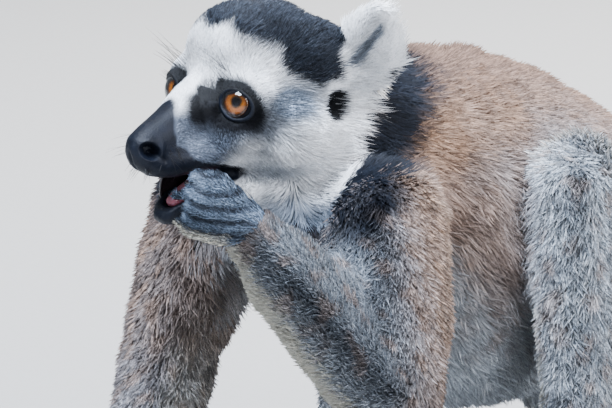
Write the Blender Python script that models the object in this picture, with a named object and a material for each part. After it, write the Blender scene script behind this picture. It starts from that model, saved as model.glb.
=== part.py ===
"""A ring-tailed lemur at life size, crouched on the ground with its left hand raised to its open mouth.

The solids give the outline out to the tips of the coat. Lofts and ellipsoids along a named skeleton
are fused into one body, which thin cuts then part at the joints. Sizes are in millimetres, measured
from the point between the eyes: +X is the animal's left, -Y its front and +Z up.
"""

import math

import bmesh
import bpy
from mathutils import Matrix, Vector
from mathutils.bvhtree import BVHTree

MM = 0.001
GROUND = -205.0
GAP = 0.3
FUSE_VOXEL = 1.5
TRIANGLES = 4800

# The head looks a little to its right: these are its own axes.
HEAD_FORWARD = Vector((-0.148, -0.989, 0.0))
HEAD_LEFT = Vector((0.989, -0.148, 0.0))
HEAD_UP = Vector((0.0, 0.0, 1.0))

EYE_RADIUS = 8.5
EYE_SPACING = 33.4
EYE_DEPTH = -6.2
EYE_DROP = -2.6
EYE_TURN = math.radians(16)

TRUNK_X = 10.0
SHOULDER = {"left": Vector((45, 52, -50)), "right": Vector((-37, 62, -46))}
ELBOW = {"left": Vector((75, 26, -116)), "right": Vector((-54, 44, -112))}
WRIST = {"left": Vector((36, -16, -46)), "right": Vector((-54, 17, -190))}
HIP = {"left": Vector((45, 226, -122)), "right": Vector((-27, 232, -122))}
KNEE = {"left": Vector((79, 137, -43)), "right": Vector((-59, 162, -53))}
ANKLE = {"left": Vector((82, 135, -169)), "right": Vector((-63, 166, -169))}
SIDES = {"left": 1, "right": -1}

# The plane that parts the neck from the chest.
NAPE = Vector((9, 62, -27))
NAPE_NORMAL = Vector((0, 0.64, -0.77)).normalized()

TAIL_LENGTH = 575.0
TAIL_BASE = Vector((11, 292, -178))
TAIL_RADIUS = 20.0
TAIL_LENGTHS = 5

COAT_GREY = (0.23, 0.22, 0.22)
COAT_BROWN = (0.33, 0.25, 0.20)
COAT_WHITE = (0.75, 0.75, 0.74)
BARE_BLACK = (0.02, 0.02, 0.022)
IRIS_AMBER = (0.55, 0.19, 0.02)
TONGUE_PINK = (0.55, 0.20, 0.22)


def head_at(forward, left, up):
    """A point in the head's own axes."""
    return HEAD_FORWARD * forward + HEAD_LEFT * left + HEAD_UP * up


def blend(first, second, share):
    return first * (1 - share) + second * share


def smooth_rows(rows, steps):
    """Rows of (point, half width, half height) made finer along a Catmull-Rom curve."""
    flat = [Vector((*point, width, height)) for point, width, height in rows]
    padded = [flat[0], *flat, flat[-1]]
    fine = []
    for before, start, end, after in zip(padded, padded[1:], padded[2:], padded[3:]):
        linear = end - before
        square = before * 2 - start * 5 + end * 4 - after
        cubic = start * 3 - before - end * 3 + after
        for step in range(steps):
            t = step / steps
            fine.append(start + (linear * t + square * t**2 + cubic * t**3) / 2)
    fine.append(flat[-1])
    return [(Vector(row[:3]), row[3], row[4]) for row in fine]


def rounded_end(row, bulge, angle):
    """One ring of a loft's domed end, `angle` round from the loft's side to its pole."""
    point, along, width, height = row
    share = math.cos(angle)
    return point + along * (height * bulge * math.sin(angle)), along, width * share, height * share


def tube(bm, rows, up=HEAD_UP, steps=4, sides=20, bulge=0.7):
    """A closed loft through rows of (point, half width, half height), with rounded ends.

    The half height is measured along `up`, square to the path, and `bulge` is the depth of each
    rounded end as a share of the end's half height.
    """
    rows = smooth_rows(rows, steps)
    spine = []
    for index, (point, width, height) in enumerate(rows):
        ahead = rows[min(index + 1, len(rows) - 1)][0]
        behind = rows[max(index - 1, 0)][0]
        spine.append((point, (ahead - behind).normalized(), width, height))
    caps = [math.radians(angle) for angle in (78, 55, 30)]
    first = [rounded_end(spine[0], -bulge, angle) for angle in caps]
    last = [rounded_end(spine[-1], bulge, angle) for angle in reversed(caps)]
    rings = []
    for point, along, width, height in [*first, *spine, *last]:
        side = up.cross(along).normalized()
        rise = along.cross(side)
        turns = [2 * math.pi * k / sides for k in range(sides)]
        places = [point + side * (width * math.cos(t)) + rise * (height * math.sin(t)) for t in turns]
        rings.append([bm.verts.new(place * MM) for place in places])
    for ring, following in zip(rings, rings[1:]):
        for k in range(sides):
            bm.faces.new((ring[k], ring[k - 1], following[k - 1], following[k]))
    bm.faces.new(rings[0])
    bm.faces.new(reversed(rings[-1]))


def head_tube(bm, rows, **options):
    """A loft along the head from rows of (forward, up, half width, half height)."""
    rows = [(head_at(forward, 0, up), width, height) for forward, up, width, height in rows]
    tube(bm, rows, **options)


def ball(bm, centre, forward, left, up):
    """An ellipsoid whose radii follow the head's axes."""
    axes = Matrix((HEAD_FORWARD * forward, HEAD_LEFT * left, HEAD_UP * up)).transposed().to_4x4()
    place = Matrix.Translation(centre * MM) @ axes @ Matrix.Scale(MM, 4)
    bmesh.ops.create_uvsphere(bm, u_segments=32, v_segments=20, radius=1.0, matrix=place)


def digit(bm, root, along, fold, lengths, radius, bends, up=HEAD_UP):
    """A finger or toe: each length turns from the last by its bend, towards `fold`."""
    axis = along.cross(fold).normalized()
    direction = along.normalized()
    rows = [(root, radius, radius)]
    for index, (length, bend) in enumerate(zip(lengths, bends)):
        direction = Matrix.Rotation(math.radians(bend), 3, axis) @ direction
        taper = 1 - 0.12 * (index + 1)
        rows.append((rows[-1][0] + direction * length, radius * taper, radius * taper))
    tube(bm, rows, up=up, steps=3, sides=12)


def add_head(bm):
    """Cranium, forehead, temples, cheeks, orbits, muzzle, nose, open lower jaw and its lips."""
    ball(bm, head_at(-29, 0, 6.5), 31, 29, 27)
    ball(bm, head_at(-18, 0, 13), 20, 22, 21)
    for side in SIDES.values():
        ball(bm, head_at(-38, 14 * side, 6), 23, 20, 22)
        ball(bm, head_at(-30, 18 * side, -15), 24, 18, 19)
        ball(bm, head_at(-10, 17 * side, -1), 10.5, 13, 13)
        ball(bm, head_at(-8, 14 * side, -14), 14, 11, 11)
    ridge = [(-4, -1, 14, 11), (4, -5, 11.5, 11), (9, -8, 10, 10.4), (14, -11, 9.3, 9.8)]
    ridge += [(20, -14.4, 8.8, 9.6), (27, -17.6, 8, 9.3), (32, -19.4, 7.4, 8.2)]
    head_tube(bm, ridge)
    lips = [(-8, -21, 20, 10.5), (4, -21.8, 16.5, 9.8), (12, -22.6, 13.8, 9)]
    lips += [(20, -23.6, 11, 8), (27, -24, 8, 6.4)]
    head_tube(bm, lips)
    ball(bm, head_at(31, 0, -19.6), 6.4, 7.6, 8.2)
    jaw = [(22, -46.6, 5.6, 3.2), (16, -46.6, 8, 4.4), (6, -44.6, 10.5, 6), (-6, -41, 14, 8.2)]
    jaw += [(-18, -36, 18, 11), (-30, -31, 22, 14)]
    head_tube(bm, jaw)
    for side in SIDES.values():
        rim = [head_at(20.5, 4.6 * side, -44.6), head_at(14, 8 * side, -40.6), head_at(4, 10 * side, -38)]
        rim.append(head_at(-8, 13 * side, -34.5))
        tube(bm, [(point, 2.0, 2.2) for point in rim], sides=12)


def add_ears(bm):
    for side in SIDES.values():
        base = head_at(-52, 22 * side, 2)
        middle = head_at(-54, 35 * side, 16)
        tip = head_at(-51, 44 * side, 28)
        rows = [(base, 13.5, 11), (blend(base, middle, 0.6), 14.5, 10), (middle, 14.5, 8.5)]
        rows += [(blend(middle, tip, 0.55), 12, 6.5), (tip, 7.5, 4.4)]
        facing = HEAD_FORWARD * 0.7 + HEAD_LEFT * (0.42 * side) - HEAD_UP * 0.48
        tube(bm, rows, up=facing, bulge=1.7)


def add_trunk(bm):
    """Neck, chest, belly and the rump that sits on the ground."""
    neck = [(head_at(-24, 0, -10), 31, 30), (Vector((6, 48, -21)), 35, 38), (Vector((9, 76, -37)), 42, 45)]
    tube(bm, neck)
    spine = [(38, -56, 32, 31), (60, -50, 43, 44), (88, -48, 49, 54), (120, -60, 53, 66), (154, -79, 55, 74)]
    spine += [(194, -91, 58, 65), (230, -116, 56, 54), (258, -145, 49, 48), (277, -175, 41, 42)]
    tube(bm, [(Vector((TRUNK_X, y, z)), width, height) for y, z, width, height in spine], sides=28)


def add_arms(bm):
    for name in SIDES:
        shoulder, elbow, wrist = SHOULDER[name], ELBOW[name], WRIST[name]
        upper = [(shoulder, 29, 28), (blend(shoulder, elbow, 0.5), 27, 27), (elbow, 21, 21)]
        lower = [(elbow, 21, 21), (blend(elbow, wrist, 0.35), 20, 20), (blend(elbow, wrist, 0.7), 17.5, 17.5)]
        lower += [(blend(elbow, wrist, 0.88), 13, 13), (wrist, 10.5, 10.5)]
        tube(bm, upper, up=HEAD_FORWARD)
        tube(bm, lower, up=HEAD_FORWARD)


def add_left_hand(bm):
    """The fist at the mouth: its back faces out and its fingers fold in towards the lips."""
    along = Vector((-0.66, -0.62, 0.42)).normalized()
    back = (Vector((0.62, -0.70, 0.30)) - along * Vector((0.62, -0.70, 0.30)).dot(along)).normalized()
    thumb_side = along.cross(back)
    if thumb_side.z < 0:
        thumb_side = -thumb_side
    wrist = WRIST["left"]
    knuckles = wrist + along * 20 + back * 2
    tube(bm, [(wrist, 10, 9.5), (blend(wrist, knuckles, 0.5), 12.5, 10), (knuckles, 13, 8.5)], up=back)
    for step, length in zip((-1.5, -0.5, 0.5, 1.5), (0.86, 0.98, 1.0, 0.9)):
        root = wrist + along * 18 + thumb_side * (step * 6.8) + back * 2.5
        digit(bm, root, along, -back, (7 * length, 9 * length, 7 * length), 4.2, (20, 85, 68), up=thumb_side)
    root = wrist + along * 8 + thumb_side * 8 - back * 5
    digit(bm, root, along - back * 0.5, -thumb_side, (10, 8, 7), 4.4, (0, 20, 30), up=back)


def add_right_hand(bm):
    """The hand that carries the fore body, flat on the ground with its fingers spread."""
    wrist = WRIST["right"]
    heel = wrist + Vector((-1, -6, -6))
    palm = wrist + Vector((-3, -30, -8.5))
    tube(bm, [(wrist, 10.5, 10.5), (heel, 12, 8.5), (palm, 14, 6.2)])
    for turn, length in zip((-24, -7, 9, 26), (0.86, 1.0, 1.0, 0.84)):
        spread = math.radians(turn)
        along = Vector((math.sin(spread), -math.cos(spread), -0.12))
        root = palm + Vector((13 * math.sin(spread) * 1.7, 2, -0.5))
        digit(bm, root, along, -HEAD_UP, (14 * length, 12 * length, 9 * length), 4.4, (0, 4, 8))
    root = wrist + Vector((8, -14, -9))
    digit(bm, root, Vector((0.86, -0.5, -0.2)), -HEAD_UP, (12, 9, 8), 4.6, (0, 4, 6))


def add_legs(bm):
    for name, side in SIDES.items():
        hip, knee, ankle = HIP[name], KNEE[name], ANKLE[name]
        thigh = [(hip, 34, 36), (blend(hip, knee, 0.45), 29, 31)]
        thigh += [(blend(hip, knee, 0.8), 23, 23), (knee, 19, 19)]
        tube(bm, thigh, up=HEAD_LEFT)
        shin = [(knee, 19, 19), (blend(knee, ankle, 0.3), 18.5, 19), (blend(knee, ankle, 0.65), 15.5, 17)]
        shin += [(ankle, 12, 13.5)]
        tube(bm, shin, up=HEAD_FORWARD)
        heel = ankle + Vector((0, 10, -22))
        arch = ankle + Vector((3 * side, -28, -28))
        ball_of_foot = ankle + Vector((5 * side, -50, -31))
        back_of_heel = [(ankle, 12, 13), (blend(ankle, heel, 0.6), 11.5, 12.5), (heel, 10.5, 10.5)]
        tube(bm, back_of_heel, up=HEAD_FORWARD)
        tube(bm, [(heel, 11, 12), (arch, 12.5, 10.5), (ball_of_foot, 14.5, 8)])
        for turn, length in zip((-13, -2, 9, 21), (0.88, 1.0, 1.0, 0.86)):
            spread = math.radians(turn)
            along = Vector((math.sin(spread) * side, -math.cos(spread), -0.1))
            root = ball_of_foot + Vector((30 * math.sin(spread - 0.07) * side, 2, -1.5))
            digit(bm, root, along, -HEAD_UP, (14 * length, 12 * length, 9 * length), 4.8, (0, 3, 6))
        root = ankle + Vector((-6 * side, -28, -31))
        digit(bm, root, Vector((-0.72 * side, -0.68, -0.05)), -HEAD_UP, (16, 13, 10), 6.6, (0, 2, 4))


def tail_radius(share):
    """Thin at the root, full along the middle and rounded off at the tip."""
    swell = 0.82 + 0.2 * math.sin(math.pi * min(1.0, 1.35 * share))
    return TAIL_RADIUS * swell * min(1.0, 0.5 + 6 * (1 - share))


def tail_path(share):
    """Where the tail's middle line runs: down to the ground, then back in a gentle curve."""
    reach = TAIL_LENGTH * share
    on_ground = GROUND + tail_radius(share) - 1.5
    settled = min(1.0, reach / 70.0)
    sway = 46 * math.sin(math.pi * 1.5 * share)
    height = on_ground * settled + TAIL_BASE.z * (1 - settled)
    return Vector((TAIL_BASE.x - sway, TAIL_BASE.y + reach * 0.962, height))


def add_tail(bm):
    rows = [(Vector((11, 266, -162)), 22, 20)]
    for share in [step / 14 for step in range(15)]:
        rows.append((tail_path(share), tail_radius(share), tail_radius(share)))
    tube(bm, rows, bulge=1.6)


def new_object(name, bm):
    bmesh.ops.recalc_face_normals(bm, faces=bm.faces)
    mesh = bpy.data.meshes.new(name)
    bm.to_mesh(mesh)
    bm.free()
    made = bpy.data.objects.new(name, mesh)
    bpy.context.scene.collection.objects.link(made)
    return made


def bake_modifiers(target):
    """Replaces an object's mesh with what its modifiers make of it."""
    graph = bpy.context.evaluated_depsgraph_get()
    mesh = bpy.data.meshes.new_from_object(target.evaluated_get(graph))
    target.modifiers.clear()
    old = target.data
    target.data = mesh
    bpy.data.meshes.remove(old)


def weight_by(target, name, weight):
    group = target.vertex_groups.new(name=name)
    for vertex in target.data.vertices:
        group.add([vertex.index], weight(vertex.co / MM), "REPLACE")


def reach_of_head(place):
    """1 on the face and ears, 0 from the neck backwards."""
    return max(0.0, min(1.0, (40.0 - place.y) / 16.0 + max(0.0, place.z + 8) / 20.0)) * (place.z > -58)


def near_muzzle_or_ear(place):
    """1 on the muzzle, the jaw and the outer half of the ears, 0 elsewhere."""
    forward = place.dot(HEAD_FORWARD)
    left = abs(place.dot(HEAD_LEFT))
    muzzle = max(0.0, min(1.0, (forward - 4.0) / 10.0)) * (left < 22) * (place.z < 6)
    ear = max(0.0, min(1.0, (left - 34.0) / 6.0)) * (-72 < forward < -34) * (place.z > 4)
    return max(muzzle, ear)


def near_digits(place):
    """1 on the hands and feet, 0 elsewhere."""
    spots = [WRIST["left"] + Vector((-10, -10, 6)), WRIST["right"] + Vector((-3, -30, -8))]
    spots += [ANKLE[name] + Vector((0, -45, -28)) for name in SIDES]
    nearest = min((place - spot).length for spot in spots)
    return max(0.0, min(1.0, (58.0 - nearest) / 12.0))


def soften(place):
    """How much the fused surface is smoothed: fully on the trunk and limbs, lightly on fine parts."""
    fine = near_muzzle_or_ear(place)
    return 1.0 - max(0.35 * reach_of_head(place), 0.9 * near_digits(place), 0.85 * fine)


def thin_out(place):
    """How freely triangles are merged: least on the face, then on the hands and feet."""
    return 1.0 - max(0.9 * reach_of_head(place) * (place.y < 70), 0.45 * near_digits(place))


def fused_body():
    bm = bmesh.new()
    for add in (add_head, add_ears, add_trunk, add_arms, add_left_hand, add_right_hand, add_legs, add_tail):
        add(bm)
    body = new_object("body", bm)
    remesh = body.modifiers.new("fuse", "REMESH")
    remesh.mode = "VOXEL"
    remesh.voxel_size = FUSE_VOXEL * MM
    bake_modifiers(body)
    weight_by(body, "soft", soften)
    smooth = body.modifiers.new("soften", "SMOOTH")
    smooth.factor = 0.5
    smooth.iterations = 40
    smooth.vertex_group = "soft"
    bake_modifiers(body)
    weight_by(body, "thin", thin_out)
    faces = sum(len(face.vertices) - 2 for face in body.data.polygons)
    decimate = body.modifiers.new("thin", "DECIMATE")
    decimate.ratio = TRIANGLES / faces
    decimate.use_collapse_triangulate = True
    decimate.vertex_group = "thin"
    decimate.vertex_group_factor = 0.3
    bake_modifiers(body)
    return body


def boolean(target, cutter, operation="DIFFERENCE"):
    cut = target.modifiers.new("cut", "BOOLEAN")
    cut.operation = operation
    cut.solver = "EXACT"
    cut.object = cutter
    bake_modifiers(target)


def remove(target):
    bpy.data.objects.remove(target)


def slab(bm, centre, normal, wide, above, below=None, up=HEAD_UP):
    """A thin plate square to `normal`, GAP thick: its reach sideways, above and below its centre."""
    below = above if below is None else below
    normal = normal.normalized()
    side = up.cross(normal).normalized()
    rise = normal.cross(side)
    axes = Matrix((side * (2 * wide), rise * (above + below), normal * GAP)).transposed().to_4x4()
    middle = centre + rise * ((above - below) / 2)
    place = Matrix.Translation(middle * MM) @ axes @ Matrix.Scale(MM, 4)
    bmesh.ops.create_cube(bm, size=1.0, matrix=place)


def bend_cut(bm, joint, one, other, wide):
    """A cut through a bent joint, along the line that halves its angle."""
    first = (one - joint).normalized()
    second = (other - joint).normalized()
    inward = (first + second).normalized()
    slab(bm, joint, first - second, wide, wide * 3, wide, up=inward)


def head_slab(bm, low, high):
    """A box-shaped cut between two corners in the head's axes."""
    middle = [(a + b) / 2 for a, b in zip(low, high)]
    size = [b - a for a, b in zip(low, high)]
    axes = Matrix((HEAD_FORWARD * size[0], HEAD_LEFT * size[1], HEAD_UP * size[2])).transposed().to_4x4()
    place = Matrix.Translation(head_at(*middle) * MM) @ axes @ Matrix.Scale(MM, 4)
    bmesh.ops.create_cube(bm, size=1.0, matrix=place)


def plate(add, *sizes, **options):
    bm = bmesh.new()
    add(bm, *sizes, **options)
    return new_object("plate", bm)


def shoulder_cut(name):
    """The plate slopes out behind the arm and in below it, to leave the body in the armpit."""
    side = SIDES[name]
    centre = SHOULDER[name] + Vector((5 * side, -3, -5))
    return plate(slab, centre, Vector((0.87 * side, -0.3, -0.2)), 60, 58, 66)


def hip_cut(name):
    side = SIDES[name]
    middle = Vector((TRUNK_X + 46 * side, 200, -90))
    return plate(slab, middle, Vector((0.97 * side, 0.1, 0.06)), 104, 95, 95)


def head_cut():
    """The plate behind the ears and cheeks."""
    return plate(slab, head_at(-58, 0, -14), HEAD_FORWARD + HEAD_UP * 0.48, 66, 66, 90)


def jaw_cuts():
    """Level behind the mouth's corners, then straight down at the back of the jaw."""
    level = plate(head_slab, (-26.3, -36, -33.3), (24, 36, -33))
    upright = plate(head_slab, (-26.3, -36, -80), (-26, 36, -33.1))
    return [level, upright]


def ear_cut(name):
    side = SIDES[name]
    return plate(slab, head_at(-54, 36 * side, 14), HEAD_LEFT * (0.85 * side) + HEAD_UP * 0.5, 34, 30)


def material(name, colour, roughness):
    made = bpy.data.materials.new(name)
    made.use_nodes = True
    shader = made.node_tree.nodes["Principled BSDF"]
    shader.inputs["Base Color"].default_value = (*colour, 1)
    shader.inputs["Roughness"].default_value = roughness
    shader.inputs["Metallic"].default_value = 0
    return made


def loose_parts(body):
    """Each connected piece of a mesh as a bmesh of its own."""
    whole = bmesh.new()
    whole.from_mesh(body.data)
    whole.verts.ensure_lookup_table()
    waiting = set(whole.verts)
    parts = []
    while waiting:
        reached = {waiting.pop()}
        front = list(reached)
        while front:
            ends = [end for vert in front for edge in vert.link_edges for end in edge.verts]
            front = [end for end in dict.fromkeys(ends) if end not in reached]
            reached.update(front)
        waiting -= reached
        part = bmesh.new()
        order = {vert: part.verts.new(vert.co) for vert in whole.verts if vert in reached}
        for face in whole.faces:
            if face.verts[0] in reached:
                part.faces.new([order[vert] for vert in face.verts])
        parts.append(part)
    whole.free()
    return parts


def holds(part, point):
    """Whether a closed mesh has the point inside it, by counting the faces above the point."""
    tree = BVHTree.FromBMesh(part)
    place = point * MM
    crossings = 0
    while True:
        hit = tree.ray_cast(place, HEAD_UP + HEAD_LEFT * 0.01)[0]
        if hit is None:
            return crossings % 2 == 1
        crossings += 1
        place = hit + HEAD_UP * 1e-6


def split(nodes, source, plates, inside):
    """Cuts a piece with the plates, and names each part by a point inside it."""
    whole = nodes.pop(source)
    for cutter in plates:
        boolean(whole, cutter)
        remove(cutter)
    parts = loose_parts(whole)
    remove(whole)
    for name, point in inside.items():
        part = next(part for part in parts if holds(part, point))
        parts.remove(part)
        nodes[name] = new_object(name, part)
    if parts:
        raise ValueError(f"cutting {source} left {len(parts)} parts without a name")


def part_at_joints(body):
    """Takes the limbs and tail off the trunk, then cuts each of them at its own joints."""
    nodes = {"body": body}
    limbs = {"trunk": Vector((TRUNK_X, 112, -50))}
    cuts = [plate(slab, tail_path(0.02), Vector((0, 0.9, -0.42)), 34, 34)]
    for name in SIDES:
        cuts += [shoulder_cut(name), hip_cut(name)]
        limbs["arm_" + name] = blend(SHOULDER[name], ELBOW[name], 0.7)
        limbs["leg_" + name] = blend(HIP[name], KNEE[name], 0.8)
    limbs["tail"] = tail_path(0.1)
    split(nodes, "body", cuts, limbs)

    cuts = [plate(slab, NAPE, NAPE_NORMAL, 70, 76, 80)]
    cuts += [plate(slab, Vector((TRUNK_X, 150, -66)), Vector((0, 0.93, -0.37)), 80, 96)]
    cuts += [plate(slab, Vector((TRUNK_X, 216, -104)), Vector((0, 0.85, -0.52)), 80, 96)]
    inside = {"fore": head_at(-28, 0, 2), "chest": Vector((10, 112, -50))}
    inside.update({"belly": Vector((10, 183, -84)), "rump": Vector((10, 252, -138))})
    split(nodes, "trunk", cuts, inside)
    split(nodes, "fore", [head_cut()], {"face": head_at(-28, 0, 2), "neck": Vector((6, 64, -14))})
    inside = {"head": head_at(-28, 0, 2), "lower_jaw": head_at(0, 0, -44)}
    inside.update({"ear_" + name: head_at(-53, 39 * side, 20) for name, side in SIDES.items()})
    split(nodes, "face", [*jaw_cuts(), *map(ear_cut, SIDES)], inside)

    hands = {"left": WRIST["left"] + Vector((-9, -8, 6)), "right": WRIST["right"] + Vector((-2, -18, -8))}
    for name, side in SIDES.items():
        shoulder, elbow, wrist = SHOULDER[name], ELBOW[name], WRIST[name]
        cuts = [plate(bend_cut, elbow, shoulder, wrist, 40)]
        cuts += [plate(slab, wrist + (elbow - wrist).normalized() * 3, elbow - wrist, 21, 21)]
        inside = {"upper_arm_" + name: blend(shoulder, elbow, 0.7)}
        inside.update({"forearm_" + name: blend(elbow, wrist, 0.6), "hand_" + name: hands[name]})
        split(nodes, "arm_" + name, cuts, inside)
        hip, knee, ankle = HIP[name], KNEE[name], ANKLE[name]
        cuts = [plate(bend_cut, knee, hip, ankle, 40)]
        cuts += [plate(slab, ankle + Vector((0, 0, -2)), Vector((0, 0.2, 1)), 26, 26, up=HEAD_FORWARD)]
        inside = {"thigh_" + name: blend(hip, knee, 0.7), "shin_" + name: blend(knee, ankle, 0.6)}
        split(nodes, "leg_" + name, cuts, {**inside, "foot_" + name: ankle + Vector((2 * side, -28, -29))})

    cuts = []
    for index in range(1, TAIL_LENGTHS):
        share = index / TAIL_LENGTHS
        along = tail_path(share + 0.01) - tail_path(share - 0.01)
        cuts.append(plate(slab, tail_path(share), along, 32, 32))
    middles = [(index + 0.5) / TAIL_LENGTHS for index in range(TAIL_LENGTHS)]
    inside = {f"tail_{index + 1}": tail_path(share) for index, share in enumerate(middles)}
    split(nodes, "tail", cuts, inside)
    return nodes


def coat_of(name):
    """The colour and roughness that a piece shows."""
    white = name.startswith(("head", "ear")) or name in ("tail_2", "tail_4")
    brown = name in ("chest", "belly", "rump")
    if name == "lower_jaw":
        return BARE_BLACK, 0.5
    return (COAT_WHITE if white else COAT_BROWN if brown else COAT_GREY), 0.9


def colour_coats(nodes):
    for name, node in nodes.items():
        colour, roughness = coat_of(name)
        node.data.materials.append(material(name + "_coat", colour, roughness))


def sphere(name, centre, radius, segments=18):
    bm = bmesh.new()
    place = Matrix.Translation(centre * MM) @ Matrix.Scale(radius * MM, 4)
    bmesh.ops.create_uvsphere(bm, u_segments=segments, v_segments=segments // 2, radius=1.0, matrix=place)
    return new_object(name, bm)


def add_eyes(nodes):
    """Each eyeball in a socket of the head, with a gap all round."""
    for name, side in SIDES.items():
        centre = head_at(EYE_DEPTH, EYE_SPACING / 2 * side, EYE_DROP)
        eye = sphere("eye_" + name, centre, EYE_RADIUS)
        eye.data.materials.append(material("iris_" + name, IRIS_AMBER, 0.1))
        nodes["eye_" + name] = eye
        gaze = HEAD_FORWARD * math.cos(EYE_TURN) + HEAD_LEFT * (side * math.sin(EYE_TURN))
        socket = sphere("socket", centre, EYE_RADIUS + 2 * GAP)
        window = sphere("window", centre + gaze * 8.5, 7.2, 12)
        for cutter in (socket, window):
            boolean(nodes["head"], cutter)
            remove(cutter)


def tongue_body(name, grow):
    bm = bmesh.new()
    rows = [(15.5, -41.8, 4.2, 2.2), (8.5, -39.4, 6, 3.4), (-2, -36.4, 7, 3.2)]
    rows = [(forward, up, width + grow, height + grow) for forward, up, width, height in rows]
    head_tube(bm, rows, sides=10, steps=1, bulge=1.0)
    return new_object(name, bm)


def add_tongue(nodes):
    """The tongue lies in a trough of the lower jaw."""
    tongue = tongue_body("tongue", 0.0)
    tongue.data.materials.append(material("tongue_flesh", TONGUE_PINK, 0.35))
    for holder in ("lower_jaw", "head"):
        trough = tongue_body("trough", GAP)
        boolean(nodes[holder], trough)
        remove(trough)
    nodes["tongue"] = tongue


def level_the_ground_side(body):
    """Trims all that would sink below the ground to one level."""
    bm = bmesh.new()
    place = Matrix.Translation(Vector((0, 300, GROUND - 50)) * MM) @ Matrix.Diagonal((0.8, 2.0, 0.1, 1))
    bmesh.ops.create_cube(bm, size=1.0, matrix=place)
    under = new_object("under", bm)
    boolean(body, under)
    remove(under)


def stand_on_origin(nodes):
    """Moves the animal so that its bounding box's bottom centre is the origin."""
    corners = [vertex.co for node in nodes.values() for vertex in node.data.vertices]
    lows = [min(corner[axis] for corner in corners) for axis in range(3)]
    highs = [max(corner[axis] for corner in corners) for axis in range(3)]
    shift = Vector(((lows[0] + highs[0]) / -2, (lows[1] + highs[1]) / -2, -lows[2]))
    for node in nodes.values():
        node.data.transform(Matrix.Translation(shift))
        node.data.shade_smooth()


def main():
    for old in list(bpy.data.objects):
        bpy.data.objects.remove(old)
    body = fused_body()
    level_the_ground_side(body)
    nodes = part_at_joints(body)
    colour_coats(nodes)
    add_eyes(nodes)
    add_tongue(nodes)
    stand_on_origin(nodes)


main()
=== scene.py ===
import math

import bmesh
import bpy
import numpy as np
from mathutils import Matrix, Vector
from mathutils.bvhtree import BVHTree


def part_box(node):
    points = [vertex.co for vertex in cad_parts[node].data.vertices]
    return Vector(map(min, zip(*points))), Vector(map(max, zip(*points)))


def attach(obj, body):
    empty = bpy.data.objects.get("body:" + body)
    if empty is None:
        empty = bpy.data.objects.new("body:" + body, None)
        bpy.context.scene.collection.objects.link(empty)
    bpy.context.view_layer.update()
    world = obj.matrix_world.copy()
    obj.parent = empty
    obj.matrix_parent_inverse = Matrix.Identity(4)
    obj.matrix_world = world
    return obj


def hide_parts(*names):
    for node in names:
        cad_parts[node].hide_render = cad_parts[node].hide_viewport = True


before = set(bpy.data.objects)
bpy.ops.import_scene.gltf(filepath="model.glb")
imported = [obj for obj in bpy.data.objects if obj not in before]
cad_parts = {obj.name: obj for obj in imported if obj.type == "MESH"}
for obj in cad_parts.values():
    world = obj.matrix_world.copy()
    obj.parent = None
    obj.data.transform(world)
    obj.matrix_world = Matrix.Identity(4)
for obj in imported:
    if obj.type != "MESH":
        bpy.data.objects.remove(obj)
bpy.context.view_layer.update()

# ----------------------------------------
# The studio. The animal is seen from its front left and a little above, at the height of its
# eyes, on a pale floor under large soft lamps. E, the point between the eyes, is where all
# sizes below are measured from; the head's own axes run forward, to its left and up.
# ----------------------------------------
MM = 0.001
FORWARD = np.array((-0.148, -0.989, 0.0))
LEFT = np.array((0.989, -0.148, 0.0))
UP = np.array((0.0, 0.0, 1.0))
EYE_IN_HEAD = (-6.2, 16.7, -2.6)


def middle_of(node):
    low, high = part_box(node)
    return (np.array(low) + np.array(high)) / 2


E = (middle_of("eye_left") + middle_of("eye_right")) / 2
E = E - (FORWARD * EYE_IN_HEAD[0] + UP * EYE_IN_HEAD[2]) * MM

CAMERA_TURN = math.radians(40)
CAMERA_RISE = math.radians(12)
CAMERA_DISTANCE = 2.2
SENSOR_WIDTH = 36.0
VIEW_WIDTH = 0.2381
# The middle of the view lies this far to the right of E and below it, in millimetres.
AIM_RIGHT = 40.1
AIM_BELOW = 43.6
right = np.array((math.cos(CAMERA_TURN), math.sin(CAMERA_TURN), 0.0))
back = np.array((
    math.sin(CAMERA_TURN) * math.cos(CAMERA_RISE),
    -math.cos(CAMERA_TURN) * math.cos(CAMERA_RISE),
    math.sin(CAMERA_RISE),
))
over = np.cross(back, right)
aim = E + (AIM_RIGHT * right - AIM_BELOW * over) * MM
camera = bpy.data.objects.new("camera", bpy.data.cameras.new("camera"))
bpy.context.scene.collection.objects.link(camera)
camera_axes = Matrix((right, over, back)).transposed().to_4x4()
camera.matrix_world = Matrix.Translation(aim + back * CAMERA_DISTANCE) @ camera_axes
camera.data.sensor_width = SENSOR_WIDTH
camera.data.lens = SENSOR_WIDTH * CAMERA_DISTANCE / VIEW_WIDTH
camera.data.clip_end = 30.0
bpy.context.scene.camera = camera


def linear(hex_colour):
    """An sRGB hex colour as linear red, green and blue."""
    parts = [int(hex_colour[i:i + 2], 16) / 255 for i in (1, 3, 5)]
    return tuple(p / 12.92 if p <= 0.04045 else ((p + 0.055) / 1.055) ** 2.4 for p in parts)


def stood_at(place, way):
    """The matrix of a thing at a place, turned so that its z axis points along the way."""
    turn = Vector(way).to_track_quat("Z", "Y").to_matrix().to_4x4()
    return Matrix.Translation(Vector(place)) @ turn


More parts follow.
